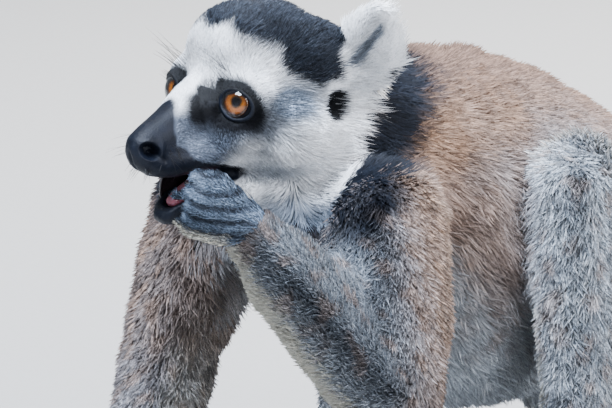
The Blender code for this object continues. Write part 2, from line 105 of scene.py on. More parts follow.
# Square soft boxes: metres towards the camera, to the right and up, width, watts and tint.
SOFTBOXES = {
    "key_softbox": (0.9, -0.6, 1.6, 1.0, 218.0, "#e0ecff"),
    "fill_softbox": (1.5, 1.3, 0.6, 1.6, 84.0, "#eff4ff"),
    "rim_softbox": (-1.2, 0.4, 1.3, 1.0, 84.0, "#fffaf2"),
}
lit_spot = aim + (0.0, 0.15, 0.0)
for name, (near, beside, above, width, power, tint) in SOFTBOXES.items():
    light = bpy.data.lights.new(name, "AREA")
    light.size = width
    light.energy = power
    light.color = linear(tint)
    softbox = bpy.data.objects.new(name, light)
    bpy.context.scene.collection.objects.link(softbox)
    place = lit_spot + back * near + right * beside + UP * above
    softbox.matrix_world = stood_at(place, Vector(place) - Vector(lit_spot))
world = bpy.data.worlds.new("studio")
bpy.context.scene.world = world
world.use_nodes = True
room_light = world.node_tree.nodes["Background"].inputs
room_light["Color"].default_value = (*linear("#d3ddec"), 1)
room_light["Strength"].default_value = 0.6


def new_node(tree, kind, links=(), feeds=None, **settings):
    """Adds a node. Settings name its properties or inputs. Each link is an output, or a node whose
    first output it is, and an input's name or number. `feeds` is the shader's input it goes to."""
    made = tree.nodes.new("ShaderNode" + kind)
    for key, value in settings.items():
        name = key.replace("_", " ")
        if hasattr(made, key):
            setattr(made, key, value)
        else:
            next(i for i in made.inputs if i.name.lower() == name.lower()).default_value = value
    for source, name in links:
        tree.links.new(source.outputs[0] if hasattr(source, "outputs") else source, made.inputs[name])
    if feeds:
        tree.links.new(made.outputs[0], tree.nodes["Principled BSDF"].inputs[feeds])
    return made


def new_material(name, **settings):
    """A Principled material and its node tree. Settings name the shader's inputs."""
    made = bpy.data.materials.new(name)
    made.use_nodes = True
    shader = made.node_tree.nodes["Principled BSDF"]
    for key, value in settings.items():
        shader.inputs[key.replace("_", " ")].default_value = value
    return made, made.node_tree


def mesh_of(bm, name):
    """Turns a bmesh into a mesh of the given name, and lets the bmesh go."""
    mesh = bpy.data.meshes.new(name)
    bm.to_mesh(mesh)
    bm.free()
    return mesh


def add_object(name, mesh, material):
    mesh.materials.clear()
    mesh.materials.append(material)
    made = bpy.data.objects.new(name, mesh)
    bpy.context.scene.collection.objects.link(made)
    return made


# The floor is matt seamless studio paper, with fibres that only just show.
floor_paper, tree = new_material("seamless_paper", Roughness=0.9)
place = new_node(tree, "TexCoord").outputs["Object"]
fibres = new_node(tree, "TexNoise", [(place, "Vector")], Scale=240.0, Detail=3.0)
tone = new_node(tree, "MapRange", [(fibres, "Value")], To_Min=0.33, To_Max=0.36)
same_tone = [(tone, channel) for channel in ("Red", "Green", "Blue")]
new_node(tree, "CombineColor", same_tone, feeds="Base Color")
bm = bmesh.new()
bmesh.ops.create_grid(bm, x_segments=1, y_segments=1, size=6.0)
add_object("floor", mesh_of(bm, "floor"), floor_paper)

# ----------------------------------------
# The skin. One hide covers the whole animal, from the lips to the tip of the tail, and lies
# inside the coat's outline by the depth of the fur. The solids of flesh are fused into one
# body, smoothed, then drawn in; eyelids, nostrils, lips and ears are shaped in it after that.
# ----------------------------------------
FLESH = [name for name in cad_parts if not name.startswith(("eye", "tongue"))]
FUSE_SIZE = 1.25
HIDE_TRIANGLES = 130000
OUTER_EYE_RADIUS = 9.5
# Each solid is swollen by this much, to close the thin cuts between them.
SWELL = 0.55
FINE_SWELL = 0.25
NOSTRIL_IN_HEAD = (33, 5, -19)

# How deep the coat is over each piece of the body, in millimetres.
COAT_DEPTH = {
    "head": 4.0, "lower_jaw": 0.5, "ear": 1.3, "neck": 9.0, "chest": 11.0, "belly": 10.0, "rump": 11.0,
    "upper_arm": 8.0, "forearm": 6.5, "hand": 1.0, "thigh": 9.0, "shin": 6.0, "foot": 1.2, "tail": 10.5,
}


def kind_of(node):
    """The name of a piece without its side or number."""
    return node.replace("_left", "").replace("_right", "").rstrip("_12345")


def vertices_of(mesh):
    flat = np.empty(len(mesh.vertices) * 3)
    mesh.vertices.foreach_get("co", flat)
    return flat.reshape(-1, 3)


def triangles_of(mesh):
    mesh.calc_loop_triangles()
    flat = np.empty(len(mesh.loop_triangles) * 3, dtype=np.int32)
    mesh.loop_triangles.foreach_get("vertices", flat)
    return flat.reshape(-1, 3)


def in_head(points):
    """Points of the scene in millimetres along the head's axes: forward, left, up."""
    return (points - E) / MM @ np.array((FORWARD, LEFT, UP)).T


def from_head(forward, left, up):
    return E + (FORWARD * forward + LEFT * left + UP * up) * MM


def soft_step(value, low, high):
    share = np.clip((value - low) / (high - low), 0.0, 1.0)
    return share * share * (3 - 2 * share)


def reach_from(spot, forward, left, up):
    """How far places on the head are from a spot of it or that spot's mirror image."""
    return np.sqrt((forward - spot[0]) ** 2 + (np.abs(left) - spot[1]) ** 2 + (up - spot[2]) ** 2)


def unit(vectors):
    return vectors / np.maximum(np.linalg.norm(vectors, axis=-1, keepdims=True), 1e-12)


def with_modifiers(target):
    """Replaces an object's mesh with what its modifiers make of it."""
    graph = bpy.context.evaluated_depsgraph_get()
    mesh = bpy.data.meshes.new_from_object(target.evaluated_get(graph))
    target.modifiers.clear()
    old = target.data
    target.data = mesh
    bpy.data.meshes.remove(old)


def weight_group(target, name, weights):
    """Weights of the vertices, given by whole tenths so that few calls are needed."""
    group = target.vertex_groups.new(name=name)
    tenths = np.round(weights * 10).astype(int)
    for tenth in np.unique(tenths):
        group.add(np.flatnonzero(tenths == tenth).tolist(), tenth / 10, "REPLACE")


gathered = bmesh.new()
for name in FLESH:
    piece = bmesh.new()
    piece.from_mesh(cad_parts[name].data)
    bmesh.ops.remove_doubles(piece, verts=piece.verts, dist=0.01 * MM)
    piece.normal_update()
    swell = FINE_SWELL if name in ("head", "lower_jaw", "hand_left") else SWELL
    for vertex in piece.verts:
        vertex.co += vertex.normal * (swell * MM)
    swollen = mesh_of(piece, "swollen")
    gathered.from_mesh(swollen)
    bpy.data.meshes.remove(swollen)
for name in ("eye_left", "eye_right"):
    spot = Matrix.Translation(Vector(middle_of(name)))
    bmesh.ops.create_uvsphere(
        gathered, u_segments=32, v_segments=20, radius=OUTER_EYE_RADIUS * MM, matrix=spot)
hide = bpy.data.objects.new("hide", mesh_of(gathered, "hide"))
bpy.context.scene.collection.objects.link(hide)
fuse = hide.modifiers.new("fuse", "REMESH")
fuse.mode = "VOXEL"
fuse.voxel_size = FUSE_SIZE * MM
with_modifiers(hide)


# The fist, the right hand and the feet: their places from E, and how far each reaches.
FINE_SPOTS = (((26, -26, -40), 34), ((-57, -13, -198), 52), ((84, 92, -197), 62), ((-66, 123, -197), 62))


def fine_parts(points):
    """1 on the face, ears, hands and feet, where the hide has its fine shapes; 0 elsewhere."""
    forward, left, up = in_head(points).T
    body = (points - E) / MM
    face = soft_step(forward, -72, -56) * soft_step(up, -62, -52) * (np.abs(left) < 62)
    gaps = [(np.linalg.norm(body - np.array(spot), axis=1), reach) for spot, reach in FINE_SPOTS]
    near = [1 - soft_step(gap, reach - 10, reach) for gap, reach in gaps]
    return np.maximum(face, np.max(near, axis=0))


fine = fine_parts(vertices_of(hide.data))
weight_group(hide, "soft", 1 - 0.85 * fine)
soften = hide.modifiers.new("soften", "SMOOTH")
soften.factor = 0.5
soften.iterations = 60
soften.vertex_group = "soft"
with_modifiers(hide)
weight_group(hide, "thin", 1 - fine)
thin = hide.modifiers.new("thin", "DECIMATE")
thin.ratio = HIDE_TRIANGLES / (2 * len(hide.data.polygons))
thin.use_collapse_triangulate = True
thin.vertex_group = "thin"
thin.vertex_group_factor = 1.6
with_modifiers(hide)

# The lids, nostrils and lips need a finer mesh than the cheeks.
bm = bmesh.new()
bm.from_mesh(hide.data)
for reach, nose_reach in ((15.0, 12.0), (11.5, 7.0)):
    points = np.array([vertex.co for vertex in bm.verts])
    forward, left, up = in_head(points).T
    near_eye = reach_from(EYE_IN_HEAD, forward, left, up) < reach
    chosen = near_eye | (reach_from(NOSTRIL_IN_HEAD, forward, left, up) < nose_reach)
    edges = [edge for edge in bm.edges if chosen[edge.verts[0].index] and chosen[edge.verts[1].index]]
    bmesh.ops.subdivide_edges(bm, edges=edges, cuts=1, use_grid_fill=True)
    bmesh.ops.triangulate(bm, faces=[face for face in bm.faces if len(face.verts) > 3])
    bm.verts.index_update()
bm.to_mesh(hide.data)
bm.free()

corners = triangles_of(hide.data)
outline = vertices_of(hide.data)
edges = np.concatenate((corners[:, :2], corners[:, 1:], corners[:, ::2]))
edges = np.unique(np.sort(edges, axis=1), axis=0)
meetings = np.bincount(edges.ravel(), minlength=len(outline)) + 1.0


def even_out(values, rounds):
    """Averages values over the hide with those of the vertices next to each, again and again."""
    values = values.reshape(len(values), -1)
    for _ in range(rounds):
        columns = []
        for column in values.T:
            gain = np.bincount(edges[:, 0], column[edges[:, 1]], len(column))
            gain += np.bincount(edges[:, 1], column[edges[:, 0]], len(column))
            columns.append((column + gain) / meetings)
        values = np.array(columns).T
    return values


def normals_of(points):
    a, b, c = points[corners[:, 0]], points[corners[:, 1]], points[corners[:, 2]]
    face = np.cross(b - a, c - a)
    total = np.zeros_like(points)
    for corner in range(3):
        for axis in range(3):
            total[:, axis] += np.bincount(corners[:, corner], face[:, axis], len(points))
    return unit(total)


# Which solid each spot of the hide belongs to.
all_points, all_faces, owners = [], [], []
for index, name in enumerate(FLESH):
    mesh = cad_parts[name].data
    start = sum(len(points) for points in all_points)
    all_points.append(vertices_of(mesh))
    faces = triangles_of(mesh) + start
    all_faces.append(faces)
    owners.append(np.full(len(faces), index))
owners = np.concatenate(owners)
nearest = BVHTree.FromPolygons(np.concatenate(all_points).tolist(), np.concatenate(all_faces).tolist())
owner = np.array([owners[nearest.find_nearest(Vector(point))[2]] for point in outline])
kinds = np.array([kind_of(name) for name in FLESH])
kind = kinds[owner]

# The face's coat thins out from the crown to the muzzle, and towards the lids.
normals = normals_of(outline)
forward, left, up = in_head(outline).T
eye_distance = reach_from(EYE_IN_HEAD, forward, left, up)
depth = np.array([COAT_DEPTH[name] for name in kinds])[owner]
face_depth = np.interp(-forward, (-20, -14, -4, 12, 32, 60), (0.3, 0.5, 1.2, 2.6, 4.6, 6.5))
face_depth = face_depth * (0.15 + 0.85 * soft_step(eye_distance, 9.5, 19))
face_depth = np.minimum(face_depth, np.where(up > 12, 3.4, 9.0))
depth = np.where(kind == "head", face_depth, depth)
depth = np.where(kind == "lower_jaw", np.interp(-forward, (8, 24), (0.5, 5.0)), depth)
depth = even_out(depth, 14)[:, 0]
hide_points = outline - normals * (depth * MM)[:, None]

# The lids: the hide dips behind each eyeball inside an almond-shaped opening, stands proud of it
# in a rolled rim, and runs out into the brow and cheek. A shallow fold follows the rim.
LID_WIDTH = 0.71
LID_HEIGHT = 0.60
LID_RADIUS = 9.25
LID_SLANT = 0.12
SOCKET_DEPTH = 2.5
SOCKET_TURN = {"left": math.radians(24), "right": math.radians(-24)}
SOCKET_RISE = math.radians(5)


def eye_axes(name):
    """The way an eye's socket faces, and the directions across and up it."""
    turn = SOCKET_TURN[name]
    facing = FORWARD * math.cos(turn) + LEFT * math.sin(turn)
    facing = facing * math.cos(SOCKET_RISE) + UP * math.sin(SOCKET_RISE)
    across = unit(np.cross(UP, facing))
    return facing, across, np.cross(facing, across)


for name in ("left", "right"):
    centre = middle_of("eye_" + name)
    facing, across, upward = eye_axes(name)
    ray = (hide_points - centre) / MM
    radius = np.linalg.norm(ray, axis=1)
    direction = ray / radius[:, None]
    ahead = direction @ facing
    slant = direction @ upward + 0.02 + LID_SLANT * (direction @ across) * (1 if name == "left" else -1)
    ring = np.hypot(direction @ across / LID_WIDTH, slant / LID_HEIGHT)
    ring = np.where(ahead > 0, ring, 9.0)
    roll = 0.42 * np.exp(-((ring - 1.1) / 0.08) ** 2)
    rim = LID_RADIUS + roll - 0.38 * np.exp(-((ring - 1.32) / 0.08) ** 2)
    wanted = SOCKET_DEPTH + (rim - SOCKET_DEPTH) * soft_step(ring, 0.94, 1.0)
    share = (1 - soft_step(ring, 1.12, 1.55)) * (radius < 17)
    hide_points += direction * ((wanted - radius) * share * MM)[:, None]

# Nose, lips and ears, as dents and swellings given in the head's own axes.
FALL_OFF = 1.6
EAR_SLIT = ((-45.0, 35.5, 9.5), (-50.5, 47.5, 24.0))
normals = normals_of(hide_points)
forward, left, up = in_head(hide_points).T
side = np.abs(left)


def blob(centre, radii, place=None):
    """1 in the middle of an ellipsoid, falling to 0 at about its surface; the same on both sides."""
    place = (forward, side, up) if place is None else place
    parts = [((value - middle) / radius) ** 2 for value, middle, radius in zip(place, centre, radii)]
    return np.exp(-FALL_OFF * sum(parts))


def along_line(start, end, radius, place=None):
    """1 on the line between two places, falling to 0 at about the radius from it."""
    points = np.stack((forward, side, up) if place is None else place, axis=-1)
    start, end = np.array(start, float), np.array(end, float)
    share = np.clip((points - start) @ (end - start) / np.dot(end - start, end - start), 0, 1)
    distance = np.linalg.norm(points - start - share[..., None] * (end - start), axis=-1)
    return np.exp(-FALL_OFF * (distance / radius) ** 2)


on_head = kind == "head"
raise_by = np.zeros(len(hide_points))
tilted = up + 18.4 - 0.25 * (forward - 32)
nostril = np.sqrt(((forward - 32.6) / 4.9) ** 2 + ((side - 6.9) / 3.8) ** 2 + (tilted / 3.6) ** 2)
raise_by -= 5.0 * (1 - soft_step(nostril, 0.7, 1.08)) * on_head
raise_by -= 2.2 * along_line((30.5, 8.0, -20.2), (26.4, 9.2, -22.4), 1.4) * on_head
raise_by += 0.9 * blob((33.0, 7.6, -14.2), (4.0, 3.4, 1.8)) * on_head
raise_by += 1.0 * blob((27.2, 9.2, -17.4), (1.5, 3.0, 4.4)) * on_head
# Depth, ends and radius of the creases: under the nose, beside it, three on the muzzle's side and
# two under the eye.
for deep, start, end, radius in (
    (0.7, (38.0, 0.0, -19.0), (33.0, 0.0, -29.0), 0.9),
    (0.5, (27.5, 9.0, -13.0), (25.5, 9.0, -24.5), 1.3),
    (0.6, (25.0, 9.0, -13.0), (15.5, 11.5, -14.6), 0.9),
    (0.6, (25.0, 9.0, -16.2), (14.5, 11.5, -17.8), 0.9),
    (0.6, (25.0, 9.0, -19.4), (13.5, 11.5, -21.0), 0.9),
    (1.1, (4.0, 12.0, -13.5), (-8.0, 24.0, -12.5), 1.5),
    (0.7, (6.0, 14.0, -17.5), (-6.0, 24.0, -17.5), 1.3),
):
    raise_by -= deep * along_line(start, end, radius) * on_head
# The hollow under the root of the ear.
raise_by -= 3.2 * blob((-41.5, 32.0, -6.0), (5.5, 9.0, 4.0)) * (on_head | (kind == "neck"))

in_ear = (kind == "ear") | (on_head & (forward < -36) & (up > 0))
ear_front = soft_step(normals @ (FORWARD * 0.8 - UP * 0.3), 0.1, 0.5)
raise_by -= 3.6 * along_line(*EAR_SLIT, 3.0) * in_ear
hollow = along_line((-47.0, 37.5, 14.0), (-50.0, 44.5, 24.0), 7.0)
raise_by -= 1.8 * hollow * in_ear * ear_front

# Fingers curled round the fist, and the rows of hair that run along them. The fingertips are
# drawn in and the back of the hand is raised.
FINGER_PITCH = 5.2
HAIR_ROW_PITCH = 1.9
HAND_BACK = (16, 36, -28)
body = (hide_points - E) / MM
on_fist = (kind == "hand") & (body[:, 0] > 0)


def furrow(body):
    """1 in the clefts between the curled fingers, which lie one above another, and 0 on each."""
    x, y, z = body.T
    turn = z + 0.15 * x + 0.8 * np.sin(x / 4.0) + 0.6 * np.sin(y / 5.0)
    cleft = (0.5 + 0.5 * np.cos(turn * math.tau / FINGER_PITCH)) ** 2
    return cleft * 0.75 + (0.5 + 0.5 * np.cos(turn * math.tau / HAIR_ROW_PITCH)) * 0.25


raise_by -= 1.7 * on_fist * furrow(body) ** 2
fingertips = on_fist * soft_step(0.749 * forward - 0.662 * left, 2.5, 8.0) * soft_step(left, 16, 22)
raise_by -= 2.8 * even_out(fingertips, 12)[:, 0]
raise_by += 1.6 * on_fist * blob(HAND_BACK, (9, 9, 8), (forward, left, up))
hide_points += normals * (raise_by * MM)[:, None]

# Skin and hair under the body are pressed flat on the floor.
FLOOR_GAP = 0.2
hide_points[:, 2] = np.maximum(hide_points[:, 2], FLOOR_GAP * MM)
normals = normals_of(hide_points)
hide.data.vertices.foreach_set("co", hide_points.ravel())
hide.data.update()
hide.data.shade_smooth()

# ----------------------------------------
# The markings, which the hide and the coat share: black muzzle and eye patches, white blaze,
# cheeks and ears, charcoal cap and collar, brown-grey back, pale grey limbs, ringed tail.
# Each marking is a share from 0 to 1, worked out from a spot's place on the animal.
# ----------------------------------------
WHITE = linear("#f6f7f8")
GREY_WHITE = linear("#b7bcc0")
SPECKLED = linear("#7a8593")
MUZZLE_GREY = linear("#2e3e54")
CHARCOAL = linear("#272b32")
COLLAR = linear("#161920")
BLACK = linear("#05060a")
BROWN = linear("#896b54")
BACK_GREY = linear("#715b50")
RUST = linear("#7a5129")
CREAM = linear("#c3beae")
LIMB_GREY = linear("#6b7178")
HAND_GREY = linear("#596574")
NOSE_BLACK = linear("#050913")
PAD_BLACK = linear("#131416")

# The ends of the bone in each solid, in millimetres from E. The coat lies along these bones.
BONES = {
    "upper_arm_left": ((45, 52, -50), (75, 26, -116)), "upper_arm_right": ((-37, 62, -46), (-54, 44, -112)),
    "forearm_left": ((75, 26, -116), (36, -16, -46)), "forearm_right": ((-54, 44, -112), (-54, 17, -190)),
    "hand_left": ((36, -16, -46), (20, -32, -36)), "hand_right": ((-54, 17, -196), (-57, -40, -202)),
    "thigh_left": ((45, 226, -122), (79, 137, -43)), "thigh_right": ((-27, 232, -122), (-59, 162, -53)),
    "shin_left": ((79, 137, -43), (82, 135, -169)), "shin_right": ((-59, 162, -53), (-63, 166, -169)),
    "foot_left": ((82, 150, -190), (89, 50, -202)), "foot_right": ((-63, 181, -190), (-70, 81, -202)),
    "neck": ((5, 30, -12), (10, 92, -46)), "chest": ((10, 80, -44), (10, 150, -70)),
    "belly": ((10, 150, -70), (10, 216, -104)), "rump": ((10, 216, -104), (11, 285, -182)),
    "head": ((7, 45, -6), (-6, -34, -20)), "lower_jaw": ((4, 26, -36), (-3, -20, -47)),
    "ear_left": ((-44, 57, 8), (-50, 50, 28)), "ear_right": ((-44, 57, 8), (-50, 50, 28)),
}
for name, outward in (("ear_left", 1), ("ear_right", -1)):
    ends = [from_head(-53, outward * b, c) for b, c in ((28, 6), (45, 30))]
    BONES[name] = tuple(tuple((end - E) / MM) for end in ends)
# The tail's bones follow its five solids. Its rings are counted from its root.
TAIL_START = 292.0
TAIL_LENGTH = 575.0
RINGS = 13.5
for index in range(5):
    low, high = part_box(f"tail_{index + 1}")
    middle = middle_of(f"tail_{index + 1}")
    reach = (high[1] - low[1]) / 2
    ends = [middle - (0, reach, 0), middle + (0, reach, 0)]
    BONES[f"tail_{index + 1}"] = tuple(tuple((end - E) / MM) for end in ends)

bone_start = np.array([BONES[name][0] for name in FLESH], float)
bone_end = np.array([BONES[name][1] for name in FLESH], float)


def mix(colours, colour, share):
    return colours * (1 - share[:, None]) + np.array(colour) * share[:, None]


def ripple(points, size, seed):
    """A smooth, aimless field between about -1 and 1, whose lumps are about `size` mm across."""
    random = np.random.default_rng(seed)
    total = np.zeros(len(points))
    for _ in range(7):
        wave = unit(random.normal(size=3)) * random.uniform(0.7, 1.4) * math.pi / size
        total += np.sin(points @ wave + random.uniform(0, 6.3))
    return total / 2.6


# Where one part of the body runs into the next, its share of a spot fades over about a centimetre.
BLEND_ROUNDS = 45
BLENDED = {"leg": ("thigh", "shin"), "upper_arm": ("upper_arm",), "forearm": ("forearm",)}
kind_shares = [np.isin(kind, group) * 1.0 for group in BLENDED.values()]
kind_shares = even_out(np.column_stack(kind_shares), BLEND_ROUNDS)

# The black patch round an eye: half its width and height, and how square its corners are.
PATCH_WIDTH = 14.6
PATCH_HEIGHT = 10.8
PATCH_POWER = 2.6


def markings(place, body, facing, kind, shares):
    """Colour of the coat, with painted shade and light in places, how speckled it is, and how bare the hide
    is, at each place.
    """
    leg, upper_arm, forearm = shares.T
    limb = np.clip(leg + upper_arm + forearm, 0, 1)
    forward, left, up = place.T
    side = np.abs(left)
    here = (forward, side, up)
    down = -facing[:, 2]
    on_left, on_right = body[:, 0] > 0, body[:, 0] < 0
    on_fist = (kind == "hand") * on_left
    head = np.isin(kind, ("head", "ear", "lower_jaw"))
    skull = kind == "head"
    waver = ripple(body, 5.0, 3)
    clumps = ripple(body, 11.0, 4)
    colour = np.tile(np.array(BROWN), (len(place), 1))
    speckle = np.full(len(place), 0.2)

    def paint(tint, share):
        nonlocal colour
        colour = mix(colour, tint, share)

    # Back, flanks and belly.
    paint(BACK_GREY, 0.8 * soft_step(facing[:, 2], 0.35, 0.95))
    across = np.abs(body[:, 0] - 9)
    on_flank = (across, body[:, 1], body[:, 2])
    rust = 0.75 * along_line((51, 88, -50), (52, 122, -80), 19, on_flank)
    rust += 0.6 * along_line((47, 84, -34), (43, 128, -28), 26, on_flank)
    trunk_kinds = ("chest", "belly", "rump", "neck")
    pale = soft_step(down + 0.1 * waver, 0.05, 0.6) * np.isin(kind, trunk_kinds)
    breast = soft_step(facing @ unit(FORWARD - 0.5 * UP), 0.25, 0.7) * np.isin(kind, ("chest", "belly"))
    pale = np.maximum(pale, breast * soft_step(-body[:, 2], 50, 75))
    paint(GREY_WHITE, pale)
    paint(RUST, np.clip(rust + 0.1 * waver, 0, 0.85) * (rust > 0.05))

    # Limbs: pale speckled grey outside with brown flecks, cream on their inner and under sides.
    paint(LIMB_GREY, limb)
    paint(BROWN, 0.75 * upper_arm * soft_step(body[:, 1] - 0.3 * body[:, 2], 36, 62))
    paint(GREY_WHITE, leg * (0.42 + 0.14 * np.clip(clumps, -1, 1)))
    # Painted light: the near forearm gets a little pale grey, and much more on its underside, where shade
    # falls.
    shaded = soft_step(down, -0.1, 0.5) * on_left
    paint(GREY_WHITE, (0.08 + 0.42 * shaded) * forearm)
    # The right upper arm, on the far side, is washed brown and darkened with charcoal; the charcoal is
    # painted shade.
    paint(BROWN, 0.4 * upper_arm * on_right)
    paint(CHARCOAL, 0.45 * upper_arm * on_right)
    speckle = speckle + (0.5 - 0.1 * upper_arm - speckle) * limb
    paint(BROWN, soft_step(waver, 0.3, 1.0) * limb * 0.35)
    palmwards = unit(np.array((-0.6, -0.5, -0.62)))
    inner = soft_step(facing @ palmwards, 0.42, 0.78) * forearm * on_left
    inner += 0.7 * soft_step(down, 0.4, 0.8) * (upper_arm + leg)
    inwards = soft_step(-facing[:, 0] * np.sign(body[:, 0]), 0.45, 0.85)
    inner += inwards * (0.8 * leg + 0.35 * forearm * on_right)
    paint(CREAM, np.clip(inner, 0, 1))
    speckle = np.where(inner > 0.5, 0.15, speckle)
    digits = np.isin(kind, ("hand", "foot"))
    # Hands and feet are bluish grey, and those low down are mixed back toward limb grey; the raised fist
    # keeps the bluish tint of the cool light on it, which is painted light.
    paint(HAND_GREY, digits * 1.0)
    paint(LIMB_GREY, 0.6 * digits * (body[:, 2] < -100))
    # Painted shade: charcoal in the clefts between the curled fingers and along the rows of hair on the fist.
    paint(CHARCOAL, np.clip(1.2 * furrow(body) * on_fist, 0, 0.95))
    heel = soft_step(down + 0.1 * waver, 0.35, 0.75) * on_fist
    heel = heel * soft_step(-up, 39, 44)
    paint(CREAM, 0.9 * heel)
    speckle = np.where(digits, 0.62, speckle)

    # The collar behind the cheeks, darkest at their edge.
    behind = -(forward + 0.983 * up + 75.0) + 1.6 * waver
    # The collar's black also runs onto the upper arm below the cheek: partly the collar itself, partly
    # painted shadow in the hollow between cheek and arm.
    arm_collar_and_shadow = upper_arm * (1 - soft_step(behind, 4, 19)) * soft_step(up, -68, -50)
    outward = np.maximum(side - 35.0, 0) * (up < 0)
    width = behind + 0.6 * outward
    behind = behind + 1.6 * outward
    behind = behind + 4.0 * soft_step(up, -32, -14) * (1 - soft_step(up, 10, 20))
    around = np.isin(kind, ("head", "lower_jaw", "neck", "ear"))
    under = soft_step(down, 0.35, 0.8) * (side < 30)
    beyond = soft_step(behind, -2.5, 2.5)
    collar = around + 0.95 * (kind == "chest") * (1 - soft_step(width, 16, 40))
    collar = collar * beyond * (1 - soft_step(width, 18, 44)) * (1 - under)
    collar = np.maximum(collar * soft_step(up, -84, -50), arm_collar_and_shadow)
    paint(COLLAR, np.clip(collar, 0, 1))
    speckle = np.where(collar > 0.5, 0.35, speckle)
    ahead = (1 - beyond) * around
    paint(WHITE, ahead)
    paint(GREY_WHITE, 0.8 * under * beyond * np.isin(kind, ("neck", "chest")))
    speckle = np.where(ahead > 0.5, 0.14, speckle)

    # The head: grey muzzle sides and under the eyes, speckled temples, charcoal cap.
    shade = blob((-20, 28, -3), (15, 12, 9), here) * (side > 18)
    paint(SPECKLED, np.clip(1.5 * shade, 0, 1) * head)
    streak = along_line((-12, 30, -10), (-24, 33, -2), 6.5, here) * head
    paint(SPECKLED, 0.4 * streak)
    paint(CHARCOAL, 0.28 * streak)
    speckle = np.where(head, np.maximum(speckle, 0.6 * shade), speckle)
    snout = soft_step(forward + 0.3 * up, -12, -1) * soft_step(-up, 1, 8) * head
    paint(MUZZLE_GREY, 0.9 * snout)
    speckle = np.where(head, np.maximum(speckle, 0.45 * snout), speckle)
    # Painted shade: charcoal along the fold under each eye patch.
    below = along_line((6, 14, -12.5), (-9, 26, -13), 8.5, here) * head
    paint(CHARCOAL, 0.9 * below)
    smudge = blob((-9, 24, -21.5), (5, 6, 3.6), here) * head
    paint(CHARCOAL, 0.6 * smudge)
    # Painted shade: the white of the lower cheek is greyed where it lies in shade.
    cheek = blob((-14, 22, -32), (15, 14, 7), here) * head
    paint(SPECKLED, 0.7 * cheek)
    # Painted shade: the white throat under the jaw is greyed and darkened.
    throat_shade = soft_step(-up, 36, 46) * soft_step(-forward, 10, 22) * (behind < 4)
    throat_shade = throat_shade * np.isin(kind, ("lower_jaw", "neck", "head"))
    paint(SPECKLED, 0.9 * throat_shade)
    paint(CHARCOAL, 0.2 * throat_shade)
    edge_sides = (0, 5, 8, 12, 15, 20.6, 25, 27.5, 29.6, 32.4, 40)
    edge = np.interp(side, edge_sides, (24.5, 25.5, 27, 24, 21.8, 18.7, 15, 7.3, 4.7, 2, 2))
    near_ear = blob((-50, 35, 10), (13, 14, 16), here)
    cap = soft_step(up - edge + 0.6 * waver, -2.6, 2.6) * head
    cap = cap * (1 - soft_step(near_ear, 0.34, 0.52)) * (1 - (kind == "ear"))
    nape = soft_step(-forward, 38, 48) * (1 - soft_step(side, 17, 22)) * soft_step(up, 2, 10)
    cap = np.maximum(cap, nape * np.isin(kind, ("head", "neck")))
    paint(CHARCOAL, cap)
    speckle = np.where(cap > 0.5, 0.55, speckle)

    # The black patch round each eye, a slanted oval that runs out towards the bridge of the nose.
    turn = SOCKET_TURN["left"]
    from_eye = [value - middle for value, middle in zip(here, EYE_IN_HEAD)]
    sideways = from_eye[1] * math.cos(turn) - from_eye[0] * math.sin(turn)
    outwards, raised = sideways + 2.5, from_eye[2] + 0.4
    raised = raised + 0.10 * outwards
    oval = np.abs(outwards / PATCH_WIDTH) ** PATCH_POWER + np.abs(raised / PATCH_HEIGHT) ** PATCH_POWER
    oval = oval ** (1 / PATCH_POWER) + 0.05 * waver
    halo = (1 - soft_step(oval, 0.9, 1.55)) * soft_step(-raised, -5, 3) * skull
    paint(CHARCOAL, 0.8 * halo * soft_step(side, 8, 13))
    brow = soft_step(along_line((6.0, 8.3, 3.0), (2.0, 10.5, 4.4), 5.5, here), 0.2, 0.75)
    patch = np.maximum(1 - soft_step(oval, 0.8, 1.15), brow) * (forward > -22) * skull
    paint(BLACK, np.clip(1.15 * patch, 0, 0.98))
    speckle = np.where(patch > 0.5, 0.2, speckle)
    # Painted shade: the hollow under the root of each ear is painted black.
    notch = blob((-42.0, 34, -6.6), (10.5, 13, 7.6), here) * np.isin(kind, ("head", "neck"))
    paint(BLACK, soft_step(notch, 0.36, 0.55) * 0.99)
    # Along the slit in the ear: darker skin, and painted shade in its fold; grey, with charcoal at its
    # middle.
    slit_skin_and_shade = along_line(*EAR_SLIT, 2.8, here)
    slit_skin_and_shade = slit_skin_and_shade * soft_step(facing @ (FORWARD * 0.9 - UP * 0.2), -0.1, 0.3)
    ears = np.isin(kind, ("head", "ear"))
    paint(SPECKLED, 0.8 * soft_step(slit_skin_and_shade, 0.15, 0.6) * ears)
    paint(CHARCOAL, 0.5 * soft_step(slit_skin_and_shade, 0.55, 0.95) * ears)

